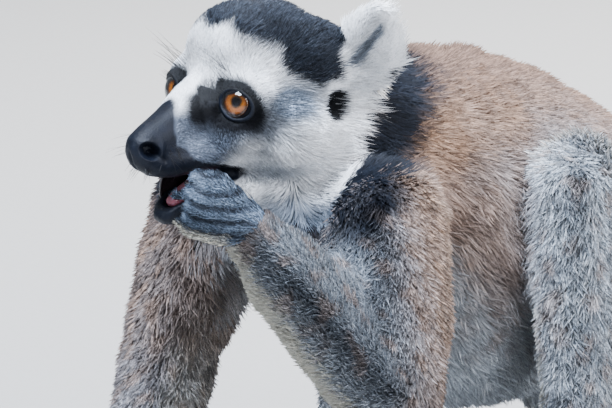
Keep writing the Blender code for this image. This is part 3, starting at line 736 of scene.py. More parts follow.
    # Bare hide: muzzle, lips, tip of the jaw, lids, palms and soles.
    bare_heights = (-34, -29, -26, -23, -18.5, -17.5, -10.4, -3.8, -0.8)
    bare_from = np.interp(up, bare_heights, (-20, -6, 6, 14.8, 16.2, 19.6, 21.0, 17.5, 15.7))
    bare = soft_step(forward - bare_from + 0.5 * waver, -0.8, 0.8) * skull
    chin = soft_step(forward + 0.6 * np.maximum(-up - 46, 0), -14, -8)
    bare = np.maximum(bare, (kind == "lower_jaw") * chin)
    bare = bare * (1 - soft_step(side, 12, 16) * soft_step(-forward, -3, 4))
    reach = reach_from(EYE_IN_HEAD, forward, left, up)
    lid = np.hypot(sideways / LID_WIDTH, (from_eye[2] + LID_SLANT * sideways) / LID_HEIGHT) / reach
    lids = (1 - soft_step(lid, 1.08, 1.16)) * (reach < 10.3) * (from_eye[0] > -2) * head
    bare = np.maximum(bare, lids)
    sole = soft_step(down, 0.35, 0.6) * (kind == "foot")
    sole += soft_step(down, 0.3, 0.6) * (kind == "hand") * on_right
    palm = soft_step(facing @ unit(np.array((-0.62, 0.70, -0.30))), 0.15, 0.5) * on_fist
    paint(NOSE_BLACK, bare)
    bare = np.maximum(bare, np.maximum(sole, palm))
    paint(PAD_BLACK, np.clip(sole + palm, 0, 1))

    # The tail: thirteen dark rings and a dark tip, with white between.
    tail = kind == "tail"
    run = (body[:, 1] - TAIL_START) / (TAIL_LENGTH * 0.962)
    turn = np.mod(run * RINGS + 0.03 * waver, 1.0)
    dark = soft_step(np.abs(turn - 0.5), 0.22, 0.28)
    dark = np.where(run > 0.965, 1.0, dark)
    ringed = mix(np.tile(np.array(WHITE), (len(place), 1)), COLLAR, dark)
    start = soft_step(run, 0.0, 0.06)
    colour = np.where(tail[:, None], colour * (1 - start[:, None]) + ringed * start[:, None], colour)
    speckle = np.where(tail, 0.2, speckle)
    return colour, speckle, bare


outline_normals = normals_of(outline)
marked_spots = np.where(np.isin(kind, ("head", "ear"))[:, None], hide_points, outline)
hide_colour, speckle, bare = markings(
    in_head(marked_spots), (marked_spots - E) / MM, outline_normals, kind, kind_shares)


def marking_attribute(mesh, colours, speckle):
    """The markings as a colour for each point, with how speckled it is in the fourth channel."""
    layer = mesh.color_attributes.new("marking", "FLOAT_COLOR", "POINT")
    layer.data.foreach_set("color", np.column_stack((colours, speckle)).astype(np.float32).ravel())


# The unwrap: a chart for each solid, rolled out round its bone, laid in rows on one square.
# A chart is wider where the hide shows, and a strip at its side holds what crosses the cut.
CHART_WEIGHT = {"head": 3.0, "lower_jaw": 2.0, "ear": 2.0, "hand": 1.6, "foot": 1.3}
CHART_STRIP = 0.12
CHART_GAP = 6.0
CHART_MARGIN = 0.004
bone_axis = unit(bone_end - bone_start)
least_along = np.where(np.abs(bone_axis[:, 2:]) < 0.8, (0.0, 0.0, 1.0), (0.0, 1.0, 0.0))
bone_across = unit(np.cross(bone_axis, least_along))
bone_over = np.cross(bone_axis, bone_across)


def roll_out(points, owner):
    """Turns round the bone, and millimetres along it; a rounded end is let down like a skirt."""
    arm = (points - E) / MM - bone_start[owner]
    along = np.einsum("ij,ij->i", arm, bone_axis[owner])
    x = np.einsum("ij,ij->i", arm, bone_across[owner])
    y = np.einsum("ij,ij->i", arm, bone_over[owner])
    return np.arctan2(y, x) / (2 * math.pi) + 0.5, along - 0.7 * np.hypot(x, y), np.hypot(x, y)


_, lengths, radii = roll_out(outline, owner)
charts = []
for index, name in enumerate(FLESH):
    mine = owner == index
    low, high = lengths[mine].min() - 4.0, lengths[mine].max() + 4.0
    weight = CHART_WEIGHT.get(kind_of(name), 1.0)
    charts.append([2 * math.pi * np.mean(radii[mine]) * weight, (high - low) * weight, low, high])
charts = np.array(charts)
order = np.argsort(-charts[:, 1])
row_width = 1.08 * math.sqrt(np.sum(charts[:, 0] * charts[:, 1]) * (1 + CHART_STRIP))
chart_corner = np.zeros((len(FLESH), 2))
x = y = row_height = 0.0
for index in order:
    width, height = charts[index, :2] * (1 + CHART_STRIP, 1.0)
    if x + width > row_width and x > 0:
        x, y, row_height = 0.0, y + row_height + CHART_GAP, 0.0
    chart_corner[index] = x, y
    x += width + CHART_GAP
    row_height = max(row_height, height)
chart_scale = 0.99 / max(row_width, y + row_height)


def on_chart(turns, lengths, owner):
    low, high = charts[owner, 2], charts[owner, 3]
    u = chart_corner[owner, 0] + turns * charts[owner, 0]
    v = chart_corner[owner, 1] + np.clip((lengths - low) / (high - low), 0, 1) * charts[owner, 1]
    return np.stack((u, v), axis=-1) * chart_scale + CHART_MARGIN


face_owner = owner[corners[:, 0]]
face_turns, face_lengths = np.empty(corners.shape), np.empty(corners.shape)
for corner in range(3):
    face_turns[:, corner], face_lengths[:, corner], _ = roll_out(outline[corners[:, corner]], face_owner)
crossing = (face_turns.max(axis=1) - face_turns.min(axis=1)) > 0.5
face_turns = np.where(crossing[:, None] & (face_turns < 0.5), face_turns + 1.0, face_turns)
face_turns = np.minimum(face_turns, 1 + CHART_STRIP)
chart_uv = [on_chart(face_turns[:, c], face_lengths[:, c], face_owner) for c in range(3)]
bake_map = hide.data.uv_layers.new(name="OFBake")
bake_map.data.foreach_set("uv", np.stack(chart_uv, axis=1).ravel())

# Between the locks the hide is darker than the coat over it.
SHADED_HIDE = 0.62
shown = hide_colour * np.where(bare > 0.5, 1.0, SHADED_HIDE)[:, None]
marking_attribute(hide.data, shown, speckle)
hide.data.attributes.new("bare", "FLOAT", "POINT").data.foreach_set("value", bare.astype(np.float32))

# Skin is matt where hair grows from it. Bare, on the nose, lips, lids and pads, it is black leather
# in pebbles about half a millimetre across, moist enough for a soft gloss with a bluish tone.
skin, tree = new_material("living_skin", Specular_IOR_Level=0.18)
marking = new_node(tree, "VertexColor", layer_name="marking")
nakedness = new_node(tree, "Attribute", attribute_name="bare").outputs["Fac"]
place = new_node(tree, "TexCoord").outputs["Object"]
pebbles = new_node(tree, "TexVoronoi", [(place, "Vector")], feature="SMOOTH_F1",
                   Scale=1700.0, Smoothness=0.4)
blotches = new_node(tree, "TexNoise", [(place, "Vector")], Scale=260.0, Detail=4.0)
underfur = new_node(tree, "TexNoise", [(place, "Vector")], Scale=1500.0, Detail=2.0)
tone = new_node(tree, "MapRange", [(blotches, "Value")],
                From_Min=0.3, From_Max=0.7, To_Min=0.72, To_Max=1.35)
mottling = [(marking, 0), (tone, "Scale")]
new_node(tree, "VectorMath", mottling, operation="SCALE", feeds="Base Color")
gloss = new_node(tree, "MapRange", [(nakedness, "Value")], To_Min=0.85, To_Max=0.44)
uneven = new_node(tree, "Math", [(blotches, 0), (gloss, 2)],
                  operation="MULTIPLY_ADD", feeds="Roughness")
uneven.inputs[1].default_value = 0.12
relief = new_node(tree, "Mix", [(nakedness, "Factor"), (underfur, 2), (pebbles, 3)], data_type="FLOAT")
new_node(tree, "Bump", [(relief, "Height")], Strength=0.35, Distance=0.0003, feeds="Normal")
hide.data.materials.clear()
hide.data.materials.append(skin)
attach(hide, "root")
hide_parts(*FLESH)

# ----------------------------------------
# The eyes. A dark globe with an amber iris a little behind its rim, like a shallow dish with a
# hole for the pupil, under a clear domed cornea. They look forward and up, past the hand.
# ----------------------------------------
GLOBE_RADIUS = 8.9
RIM_RADIUS = 5.9
PUPIL_RADIUS = 1.7
CORNEA_RISE = 2.5
CORNEA_THICKNESS = 0.35
RIM_HEIGHT = math.sqrt(GLOBE_RADIUS ** 2 - RIM_RADIUS ** 2)
# How far each eye looks to the animal's left and up, in degrees.
GAZE = {"left": (21, 12), "right": (-4, 18)}
# From the pupil's edge to the iris's rim, by shares of the rim's radius.
IRIS_SHADES = ((0.31, "#010101"), (0.37, "#331a00"), (0.50, "#663600"),
               (0.66, "#582c00"), (0.77, "#331600"), (0.84, "#0a0400"))


def spun(profile, steps):
    """A closed shape turned round the z axis from a profile of radius and height in millimetres."""
    bm = bmesh.new()
    verts = [bm.verts.new((radius * MM, 0, height * MM)) for radius, height in profile]
    lines = [bm.edges.new(pair) for pair in zip(verts, verts[1:])]
    bmesh.ops.spin(bm, geom=verts + lines, axis=(0, 0, 1), cent=(0, 0, 0), angle=math.tau, steps=steps,
                   use_merge=True)
    bmesh.ops.remove_doubles(bm, verts=bm.verts, dist=0.001 * MM)
    bmesh.ops.recalc_face_normals(bm, faces=bm.faces)
    return bm


def arc(radius, rise, top, count):
    """Points of a dome's arc from its apex to its foot."""
    sphere = (radius ** 2 + rise ** 2) / (2 * rise)
    sweep = math.asin(radius / sphere)
    return [(sphere * math.sin(sweep * i / count), top - sphere + sphere * math.cos(sweep * i / count))
            for i in range(count + 1)]


# The iris is amber muscle in fine threads that run out from the pupil, golden inside and rust
# brown at its edge; the white of the eye is black, as far as it shows.
eyeball, tree = new_material("amber_iris", Roughness=0.42, Specular_IOR_Level=0.05)
spot = new_node(tree, "Attribute", attribute_name="iris_place").outputs["Vector"]
reach = new_node(tree, "VectorMath", [(spot, 0)], operation="LENGTH").outputs["Value"]
ray = new_node(tree, "VectorMath", [(spot, 0)], operation="NORMALIZE").outputs["Vector"]
threads = new_node(tree, "TexNoise", [(ray, "Vector")], Scale=7.0, Detail=5.0, Roughness=0.7)
share = new_node(tree, "MapRange", [(reach, "Value")], From_Max=RIM_RADIUS)
bands = new_node(tree, "ValToRGB", [(share, "Fac")])
for at, shade in IRIS_SHADES:
    bands.color_ramp.elements.new(at).color = (*linear(shade), 1)
bands.color_ramp.elements[0].color = (*linear("#030303"), 1)
bands.color_ramp.elements[-1].color = (*linear("#060608"), 1)
weave = new_node(tree, "MapRange", [(threads, "Value")],
                 From_Min=0.3, From_Max=0.7, To_Min=0.5, To_Max=1.3)
threading = [(bands, 0), (weave, "Scale")]
new_node(tree, "VectorMath", threading, operation="SCALE", feeds="Base Color")
new_node(tree, "Bump", [(threads, "Height")], Strength=0.3, Distance=0.0003, feeds="Normal")

# The cornea is a clear window under a film of tears, which gives the sharp bluish highlights.
cornea_clear, tree = new_material("clear_cornea", Roughness=0.0, IOR=1.376,
                                  Specular_IOR_Level=0.07, Transmission_Weight=1.0)
place = new_node(tree, "TexCoord").outputs["Object"]
tears = new_node(tree, "TexNoise", [(place, "Vector")], Scale=500.0)
new_node(tree, "Bump", [(tears, "Height")], Strength=0.04, Distance=0.0002, feeds="Normal")

foot = math.asin(RIM_HEIGHT / GLOBE_RADIUS)
globe_line = [(0.0, 3.6), (PUPIL_RADIUS - 0.2, 4.2), (PUPIL_RADIUS, 5.5), (PUPIL_RADIUS + 0.15, 5.75)]
globe_line += [(3.2, 5.7), (4.9, 5.9), (5.5, 6.25)]
for step in range(17):
    angle = foot - (foot + math.pi / 2) * step / 16
    globe_line.append((GLOBE_RADIUS * math.cos(angle), GLOBE_RADIUS * math.sin(angle)))
apex = RIM_HEIGHT + CORNEA_RISE
cornea_line = arc(RIM_RADIUS + 0.05, CORNEA_RISE, apex, 12)
cornea_line += reversed(arc(RIM_RADIUS - 0.25, CORNEA_RISE - CORNEA_THICKNESS, apex - CORNEA_THICKNESS, 12))

for name in ("left", "right"):
    across, rise = (math.radians(angle) for angle in GAZE[name])
    gaze = (FORWARD * math.cos(across) + LEFT * math.sin(across)) * math.cos(rise) + UP * math.sin(rise)
    set_in = stood_at(middle_of("eye_" + name), gaze)
    for piece, profile, material in (("eyeball", globe_line, eyeball), ("cornea", cornea_line, cornea_clear)):
        mesh = mesh_of(spun(profile, 64), f"{piece}_{name}")
        spots = vertices_of(mesh) / MM
        spots[:, 2] = 0.0
        rearward = np.array([vertex.co.z / MM < 3.5 for vertex in mesh.vertices])
        spots[rearward] = (RIM_RADIUS, 0, 0)
        mesh.attributes.new("iris_place", "FLOAT_VECTOR", "POINT").data.foreach_set("vector", spots.ravel())
        mesh.transform(set_in)
        mesh.shade_smooth()
        made = add_object(f"{piece}_{name}", mesh, material)
        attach(made, "root")
        if piece == "eyeball":
            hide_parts("eye_" + name)
        else:
            made.visible_shadow = False

# ----------------------------------------
# The tongue and the cheek folds. The tongue lies in the open lower jaw: wet pink muscle, pebbled
# with small soft bumps, arched on top with a groove along its middle.
# ----------------------------------------
TONGUE_ARCH = 2.6
TONGUE_GROOVE = 0.7
tongue_flesh, tree = new_material("tongue_flesh", Roughness=0.3, Subsurface_Weight=0.15,
                                  Subsurface_Scale=0.002)
place = new_node(tree, "TexCoord").outputs["Object"]
bumps = new_node(tree, "TexVoronoi", [(place, "Vector")], feature="SMOOTH_F1", Scale=1600.0)
blush = new_node(tree, "TexNoise", [(place, "Vector")], Scale=220.0, Detail=3.0)
pinks = new_node(tree, "ValToRGB", [(blush, "Fac")], feeds="Base Color")
pinks.color_ramp.elements[0].color = (*linear("#5e2b36"), 1)
pinks.color_ramp.elements[1].color = (*linear("#a8606c"), 1)
new_node(tree, "Bump", [(bumps, "Height")], Strength=0.3, Distance=0.0003, feeds="Normal")
bm = bmesh.new()
bm.from_mesh(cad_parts["tongue"].data)
bmesh.ops.remove_doubles(bm, verts=bm.verts, dist=0.01 * MM)
bmesh.ops.subdivide_edges(bm, edges=bm.edges, cuts=1, use_grid_fill=True)
for _ in range(6):
    bmesh.ops.smooth_vert(bm, verts=bm.verts, factor=0.5, use_axis_x=True, use_axis_y=True, use_axis_z=True)
tongue_low, tongue_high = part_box("tongue")
for vertex in bm.verts:
    share = (vertex.co.z - tongue_low[2]) / (tongue_high[2] - tongue_low[2])
    groove = math.exp(-(in_head(np.array([vertex.co]))[0, 1] / 1.6) ** 2)
    vertex.co.z += (TONGUE_ARCH * share - TONGUE_GROOVE * groove * share) * MM
mesh = mesh_of(bm, "tongue_muscle")
mesh.shade_smooth()
tongue = add_object("tongue_muscle", mesh, tongue_flesh)
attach(tongue, "root")
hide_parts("tongue")

# The cheek folds close the sides of the mouth behind the canines: black moist skin stretched from
# the upper lip down to the lower one, with a rounded front edge.
# Each row runs up the fold: its place forward and outwards, and its lowest and highest point.
FOLD_BULGES = (0.0, 0.9, 0.8, 0.3, -1.0)
FOLD_ROWS = (
    (15.8, 7.4, -42.4, -32.0), (14.6, 8.6, -41.4, -32.0), (9.0, 9.2, -39.8, -31.5), (3.0, 9.4, -38.4, -31.0),
    (-4.0, 11.0, -36.6, -30.0), (-10.0, 13.0, -35.0, -28.5),
)
# The hand presses on the left fold, which shows only as far back as its third row.
FOLD_LENGTH = {1: 3, -1: 6}
moist_lip, tree = new_material("moist_lip")
place = new_node(tree, "TexCoord").outputs["Object"]
blotches = new_node(tree, "TexNoise", [(place, "Vector")], Scale=300.0, Detail=3.0)
darks = new_node(tree, "ValToRGB", [(blotches, "Fac")], feeds="Base Color")
darks.color_ramp.elements[0].color = (*linear("#08090c"), 1)
darks.color_ramp.elements[1].color = (*linear("#241a1e"), 1)
new_node(tree, "MapRange", [(blotches, "Value")], To_Min=0.12, To_Max=0.35, feeds="Roughness")
new_node(tree, "Bump", [(blotches, "Height")], Strength=0.3, Distance=0.0004, feeds="Normal")
bm = bmesh.new()
for outward in (1, -1):
    rows = []
    for a, b, low, high in FOLD_ROWS[:FOLD_LENGTH[outward]]:
        heights = (low, (3 * low + high) / 4, (low + high) / 2, (low + 3 * high) / 4, high)
        spots = [from_head(a, outward * (b + bulge), height) for height, bulge in zip(heights, FOLD_BULGES)]
        rows.append([bm.verts.new(Vector(spot)) for spot in spots])
    for row, after in zip(rows, rows[1:]):
        for index in range(len(row) - 1):
            bm.faces.new((row[index], row[index + 1], after[index + 1], after[index]))
bmesh.ops.recalc_face_normals(bm, faces=bm.faces)
bmesh.ops.solidify(bm, geom=bm.faces[:], thickness=1.1 * MM)
bmesh.ops.recalc_face_normals(bm, faces=bm.faces)
mesh = mesh_of(bm, "cheek_folds")
folds = add_object("cheek_folds", mesh, moist_lip)
rounded = folds.modifiers.new("rounded", "SUBSURF")
rounded.levels = rounded.render_levels = 2
mesh.shade_smooth()
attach(folds, "root")

# ----------------------------------------
# The coat. Locks of hair rooted in the hide, each a thin keeled spike that rises, bends at its
# ridge and lies back along the body. They are set by area, so that no skin shows between them,
# short and fine on the face and feet, long and woolly on the thighs, bushy on the tail.
# ----------------------------------------
# Kind: spacing of the roots, length for each millimetre of depth, width at the root, how much the
# locks stray from the lie of the coat.
LOCKS = {
    "head": (0.50, 1.8, 0.40, 0.20), "lower_jaw": (0.60, 1.9, 0.5, 0.3), "ear": (0.50, 3.2, 0.34, 0.25),
    "neck": (0.66, 1.4, 0.58, 0.35), "chest": (0.70, 1.05, 0.56, 0.35), "belly": (0.84, 1.2, 0.72, 0.35),
    "rump": (0.92, 1.3, 0.80, 0.40), "upper_arm": (0.58, 1.0, 0.46, 0.6), "forearm": (0.52, 1.0, 0.40, 0.65),
    "hand": (0.48, 3.6, 0.34, 0.30), "thigh": (0.80, 1.2, 0.66, 0.7), "shin": (0.70, 1.2, 0.58, 0.7),
    "foot": (0.66, 2.4, 0.40, 0.35), "tail": (1.06, 1.8, 0.95, 0.4),
}
# Locks on the far side are wider and set wider apart, by this much.
FAR_SIDE = 1.3
# A lock starts this far under the hide. Its ridge bends at these shares of its height and run,
# and stands out by a share of its width.
ROOT_DEPTH = 0.2
BEND_HEIGHT = 0.62
BEND_RUN = 0.40
KEEL = 0.18
# Some of the locks of a speckled coat end in a dark tip.
TICKED_SHARE = 0.3
TICKED_SHADE = 0.55
BAKE_PATCH = 0.003
EAR_ROOT = (-52, 26, 4)

rng = np.random.default_rng(11)
flow = unit(bone_end - bone_start)[owner]
nose_tip = from_head(40, 0, -18)
from_nose = unit(outline - nose_tip)
away = np.zeros_like(outline)
for name in ("eye_left", "eye_right"):
    gap = outline - middle_of(name)
    reach = np.linalg.norm(gap, axis=1) / MM
    away += unit(gap) * (1.6 * (1 - soft_step(reach, 10, 26)))[:, None]
face_flow = unit(from_nose + away + (0, 0, -0.25) * (up < -8)[:, None] + (0, 0, 0.25) * (up > 8)[:, None])
flow = np.where((kind == "head")[:, None], face_flow, flow)
root_forward, root_out, root_up = EAR_ROOT
ear_root = np.where((left > 0)[:, None], from_head(root_forward, root_out, root_up),
                    from_head(root_forward, -root_out, root_up))
ear_flow = unit(outline - ear_root)
flow = np.where((kind == "ear")[:, None], ear_flow - FORWARD * 0.35, flow)
sag = np.isin(kind, ("neck", "chest", "belly", "rump", "forearm", "upper_arm", "thigh"))
flow = flow + (0, 0, -0.35) * sag[:, None]
flow = unit(even_out(flow, 10))
even_normals = unit(even_out(outline_normals, 4))


def set_coat(name, chosen_kinds, half=None, spread=1.0):
    """Makes one piece of coat over the hide of the given kinds; `half` narrows it to some faces."""
    mine = np.isin(kind[corners[:, 0]], chosen_kinds)
    if half is not None:
        mine &= half
    faces = corners[mine]
    a, b, c = (outline[faces[:, i]] / MM for i in range(3))
    area = np.linalg.norm(np.cross(b - a, c - a), axis=1) / 2
    spacing = np.array([LOCKS[k][0] for k in kind[faces[:, 0]]]) * spread
    wanted = np.cumsum(area / spacing ** 2)
    count = int(wanted[-1])
    rank = (np.arange(count) + rng.random(count)) * wanted[-1] / count
    picked = np.minimum(np.searchsorted(wanted, rank), len(faces) - 1)
    r1, r2 = np.sqrt(rng.random(count)), rng.random(count)
    shares = np.stack((1 - r1, r1 * (1 - r2), r1 * r2), axis=1)
    spots = faces[picked]

    def at_root(values):
        return np.einsum("ij,ij...->i...", shares, values[spots])

    keep = at_root(bare) < 0.5
    spots, shares = spots[keep], shares[keep]
    count = len(spots)
    lock_kind, lock_owner = kind[spots[:, 0]], owner[spots[:, 0]]
    root, outer = at_root(hide_points), at_root(outline)
    normal = unit(at_root(even_normals))
    lie = at_root(flow)
    body = (outer - E) / MM
    stray = np.array([LOCKS[k][3] for k in lock_kind])
    turn = 0.30 * ripple(body, 7.0, 5) + stray * rng.normal(size=count)
    turn = np.where(np.isin(lock_kind, ("thigh", "shin")), turn + 0.8 * ripple(body, 4.5, 6), turn)
    lie = unit(lie - normal * np.einsum("ij,ij->i", lie, normal)[:, None])
    across = np.cross(normal, lie)
    lie = unit(lie + across * turn[:, None])
    across = np.cross(normal, lie)

    length_ratio = np.array([LOCKS[k][1] for k in lock_kind])
    width = np.array([LOCKS[k][2] for k in lock_kind]) * spread
    loft = at_root(depth)
    trunk = np.isin(lock_kind, ("neck", "chest", "belly", "rump"))
    stand = loft * np.where(trunk, rng.uniform(0.74, 1.04, count), rng.uniform(0.6, 1.06, count))
    stand = stand * (1 + 0.08 * ripple(body, 9.0, 8))
    run = loft * length_ratio * rng.uniform(0.7, 1.2, count)
    on_face = lock_kind == "head"
    stand = np.where(on_face, np.maximum(stand, 0.45), stand)
    run = np.where(on_face, np.maximum(run, rng.uniform(1.5, 2.2, count)), run)
    width = width * rng.uniform(0.7, 1.25, count)
    width = np.where(on_face, width * np.interp(loft, (0.5, 2, 5), (0.75, 0.9, 1.25)), width)
    rim = soft_step(1 - np.abs(normal @ (FORWARD * 0.75 - UP * 0.3)) / 0.8, 0.4, 0.9) * (lock_kind == "ear")
    rim = rim * soft_step(body[:, 2], 4, 16)
    run = run * (1 + 1.5 * rim * rng.random(count))
    stand = stand * (1 + 1.2 * rim * rng.random(count))
    forward, left, up = in_head(outer).T
    notch = blob((-40.5, 34, -6), (15, 14, 10), (forward, np.abs(left), up))
    run = run * (1 - 0.88 * notch * (lock_kind == "head"))
    back_of_hand = blob(HAND_BACK, (10, 10, 9), (forward, left, up)) * (lock_kind == "hand")
    stand = stand + 1.4 * back_of_hand

    spot = outer + lie * (run * np.where(on_face, 0.3, 0.5) * MM)[:, None]
    colour, speckle, _ = markings(in_head(spot), (spot - E) / MM, normal, lock_kind, at_root(kind_shares))
    tint = 1 + 0.8 * speckle * np.clip(rng.normal(size=count), -1.6, 2.2) + 0.05 * ripple(body, 6.0, 9)
    tint = np.clip(tint, 0.25, 2.2)
    warmth = 1 + 0.05 * speckle[:, None] * rng.normal(size=(count, 1)) * np.array((1.0, 0.0, -1.0))
    tip_colour = np.clip(colour * tint[:, None] * warmth, 0, 0.95)
    # Painted shade: each lock is darker at its root, and a little at its middle, than at its tip, as hair
    # deep in the coat is shaded.
    shaded_root_colour = tip_colour * np.where(trunk, 0.8, np.interp(speckle, (0.15, 0.5), (0.8, 0.62)))[:, None]
    ticked = (rng.random(count) < TICKED_SHARE) & (speckle > 0.2)
    middle_colour = tip_colour * 0.92
    tip_colour = np.where(ticked[:, None], tip_colour * TICKED_SHADE, tip_colour)

    side_step = across * (width * 0.5 * MM)[:, None]
    low = root - normal * (ROOT_DEPTH * MM)
    bend = root + normal * ((BEND_HEIGHT * stand + KEEL * width) * MM)[:, None]
    bend = bend + lie * (BEND_RUN * run * MM)[:, None]
    tip = root + normal * (stand * MM)[:, None] + lie * (run * MM)[:, None]
    points = np.stack((low - side_step, low + side_step, bend, tip), axis=1).reshape(-1, 3)
    points[:, 2] = np.maximum(points[:, 2], FLOOR_GAP * MM)
    first = np.arange(count)[:, None] * 4
    faces = np.concatenate((first + (0, 1, 2), first + (1, 3, 2), first + (3, 0, 2)), axis=1).reshape(-1, 3)

    mesh = bpy.data.meshes.new(name)
    mesh.vertices.add(len(points))
    mesh.vertices.foreach_set("co", points.ravel())
    mesh.loops.add(len(faces) * 3)
    mesh.loops.foreach_set("vertex_index", faces.ravel().astype(np.int32))
    mesh.polygons.add(len(faces))
    mesh.polygons.foreach_set("loop_start", np.arange(len(faces), dtype=np.int32) * 3)
    mesh.polygons.foreach_set("loop_total", np.full(len(faces), 3, dtype=np.int32))
    mesh.update(calc_edges=True)
    colours = np.stack((shaded_root_colour, shaded_root_colour, middle_colour, tip_colour), axis=1).reshape(-1, 3)
    marking_attribute(mesh, colours, np.repeat(speckle, 4))
    turns, lengths, _ = roll_out(outer, lock_owner)
    base = on_chart(turns, lengths, lock_owner)
    patch = np.array(((0.0, 0.0), (1.0, 0.0), (0.5, 0.5), (0.5, 1.0)))[[0, 1, 2, 1, 3, 2, 3, 0, 2]]
    uv = base[:, None, :] + (patch - 0.5)[None, :, :] * BAKE_PATCH
    mesh.uv_layers.new(name="OFBake").data.foreach_set("uv", uv.ravel())
    coat = add_object(name, mesh, fur)
    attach(coat, "root")


# Hair is pale keratin banded light and dark, so close up the coat is flecked like salt and pepper.
# The flecks are about 0.6 mm across, drawn as coarse as they need to be to show.
fur, tree = new_material("agouti_hair", Roughness=0.6, Specular_IOR_Level=0.1)
marking = new_node(tree, "VertexColor", layer_name="marking")
place = new_node(tree, "TexCoord").outputs["Object"]
flecks = new_node(tree, "TexNoise", [(place, "Vector")], Scale=1300.0, Detail=1.0)
clumps = new_node(tree, "TexNoise", [(place, "Vector")], Scale=170.0, Detail=3.0)
swing = new_node(tree, "MapRange", [(flecks, "Value")],
                 From_Min=0.35, From_Max=0.65, To_Min=-0.75, To_Max=0.9)
swung = new_node(tree, "Math", [(swing, 0), (marking.outputs["Alpha"], 1)],
                 operation="MULTIPLY")
soft = new_node(tree, "MapRange", [(clumps, "Value")],
                From_Min=0.3, From_Max=0.7, To_Min=0.86, To_Max=1.14)
level = new_node(tree, "Math", [(swung, 0), (soft, 1)],
                 operation="ADD")
flecking = [(marking, 0), (level, "Scale")]
new_node(tree, "VectorMath", flecking, operation="SCALE", feeds="Base Color")
new_node(tree, "MapRange", [(clumps, "Value")], To_Min=0.5, To_Max=0.72, feeds="Roughness")
new_node(tree, "Bump", [(flecks, "Height")], Strength=0.25, Distance=0.0002, feeds="Normal")

face_forward = in_head(outline[corners[:, 0]])[:, 0]
body_left = (outline[corners[:, 0]] - E)[:, 0] > 0
set_coat("face_coat", ("head", "lower_jaw"), face_forward > -26)
set_coat("crown_and_cheek_coat", ("head", "lower_jaw"), face_forward <= -26)
set_coat("ear_coat", ("ear",))
set_coat("neck_coat", ("neck",))
set_coat("left_flank_coat", ("chest",), body_left)
set_coat("right_flank_coat", ("chest",), ~body_left, FAR_SIDE)
set_coat("left_haunch_coat", ("belly", "rump"), body_left)
set_coat("right_haunch_coat", ("belly", "rump"), ~body_left, FAR_SIDE)
set_coat("left_arm_coat", ("upper_arm",), body_left)
set_coat("left_hand_coat", ("forearm", "hand"), body_left)
set_coat("right_arm_coat", ("upper_arm", "forearm", "hand"), ~body_left, FAR_SIDE)
set_coat("left_leg_coat", ("thigh", "shin", "foot"), body_left)
set_coat("right_leg_coat", ("thigh", "shin", "foot"), ~body_left, FAR_SIDE)
set_coat("tail_coat", ("tail",))

# ----------------------------------------
# Whiskers and lashes. Stiff black bristles, each a slim tapering rod that droops a little, in
# small groups over the eyes, on the sides of the muzzle, under the nose and on the upper lids.
# ----------------------------------------
BRISTLE_RADIUS = 0.11
BRISTLE_TAPER = 0.85
BRISTLE_DROOP = 0.14
BRISTLE_RINGS = 7
LASHES = 15
# Middle of the group, its spread, how many, their direction, shortest and longest.
BRISTLES = (
    ((0.5, 12.5, 9.0), 2.6, 14, (0.8, 0.10, 1.0), 8, 28),
    ((-2.0, 20.0, 8.5), 2.0, 6, (0.7, 0.55, 0.9), 6, 12),
    ((23.0, 9.5, -18.0), 4.5, 15, (0.45, 1.0, -0.15), 7, 16),
    ((31.0, 5.0, -27.0), 3.0, 9, (0.7, 0.35, -0.8), 3, 6),
    ((17.0, 4.0, -46.0), 3.0, 6, (0.7, 0.5, -0.7), 3, 7),
)
whisker_keratin, tree = new_material("whisker_keratin", Roughness=0.35)
place = new_node(tree, "TexCoord").outputs["Object"]
streaks = new_node(tree, "TexNoise", [(place, "Vector")], Scale=420.0, Detail=2.0)
darks = new_node(tree, "ValToRGB", [(streaks, "Fac")], feeds="Base Color")
darks.color_ramp.elements[0].color = (*linear("#07080a"), 1)
darks.color_ramp.elements[1].color = (*linear("#1d1a19"), 1)

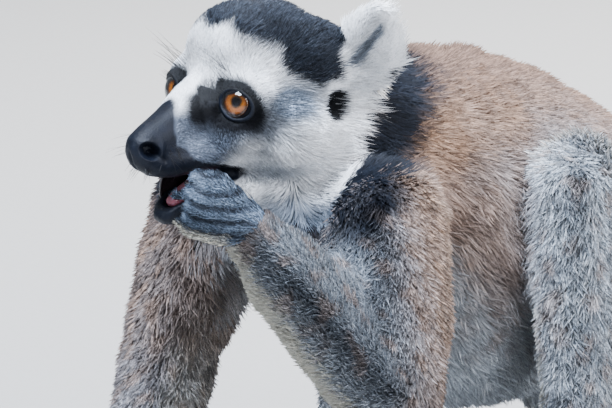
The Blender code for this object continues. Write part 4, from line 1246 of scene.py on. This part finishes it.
roots, ways, reaches = [], [], []
in_place = in_head(hide_points)
for outward in (1, -1):
    for middle, spread, count, way, shortest, longest in BRISTLES:
        for _ in range(count):
            wanted = np.array(middle) * (1, outward, 1) + rng.normal(size=3) * spread * 0.55
            near = np.argmin(np.linalg.norm(in_place - wanted, axis=1))
            aim_at = np.array(way) * (1, outward, 1) + rng.normal(size=3) * 0.16
            roots.append(hide_points[near])
            ways.append(unit(FORWARD * aim_at[0] + LEFT * aim_at[1] + UP * aim_at[2] + normals[near] * 0.3))
            reaches.append(rng.uniform(shortest, longest))
for name in ("left", "right"):
    facing, across, upward = eye_axes(name)
    for step in range(LASHES):
        angle = math.radians(35 + 110 * step / (LASHES - 1) + rng.normal() * 3)
        slit = facing * 0.78 + across * (math.cos(angle) * 0.78) + upward * (math.sin(angle) * 0.68)
        roots.append(middle_of("eye_" + name) + unit(slit) * (LID_RADIUS + 0.1) * MM)
        ways.append(unit(facing + upward * 0.9 + across * math.cos(angle) * 0.9))
        reaches.append(rng.uniform(2.2, 4.2))
roots, ways, reaches = np.array(roots), np.array(ways), np.array(reaches)
along = np.linspace(0, 1, BRISTLE_RINGS)
cross = unit(np.cross(ways, UP))
third = np.cross(ways, cross)
spine = roots[:, None] + ways[:, None] * (reaches[:, None] * along * MM)[..., None]
spine = spine - UP * (reaches[:, None] * BRISTLE_DROOP * along ** 2.2 * MM)[..., None]
thickness = BRISTLE_RADIUS * (1 - BRISTLE_TAPER * along) * MM
rings = [spine + thickness[None, :, None] * (math.cos(turn) * cross + math.sin(turn) * third)[:, None]
         for turn in (0, math.tau / 3, 2 * math.tau / 3)]
points = np.stack(rings, axis=2).reshape(-1, 3)
faces = []
for hair in range(len(roots)):
    for ring in range(BRISTLE_RINGS - 1):
        for corner in range(3):
            start = (hair * BRISTLE_RINGS + ring) * 3
            beside = (corner + 1) % 3
            faces.append((start + corner, start + beside, start + 3 + beside, start + 3 + corner))
mesh = bpy.data.meshes.new("whiskers")
mesh.from_pydata(points.tolist(), [], faces)
mesh.shade_smooth()
whiskers = add_object("whiskers", mesh, whisker_keratin)
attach(whiskers, "root")
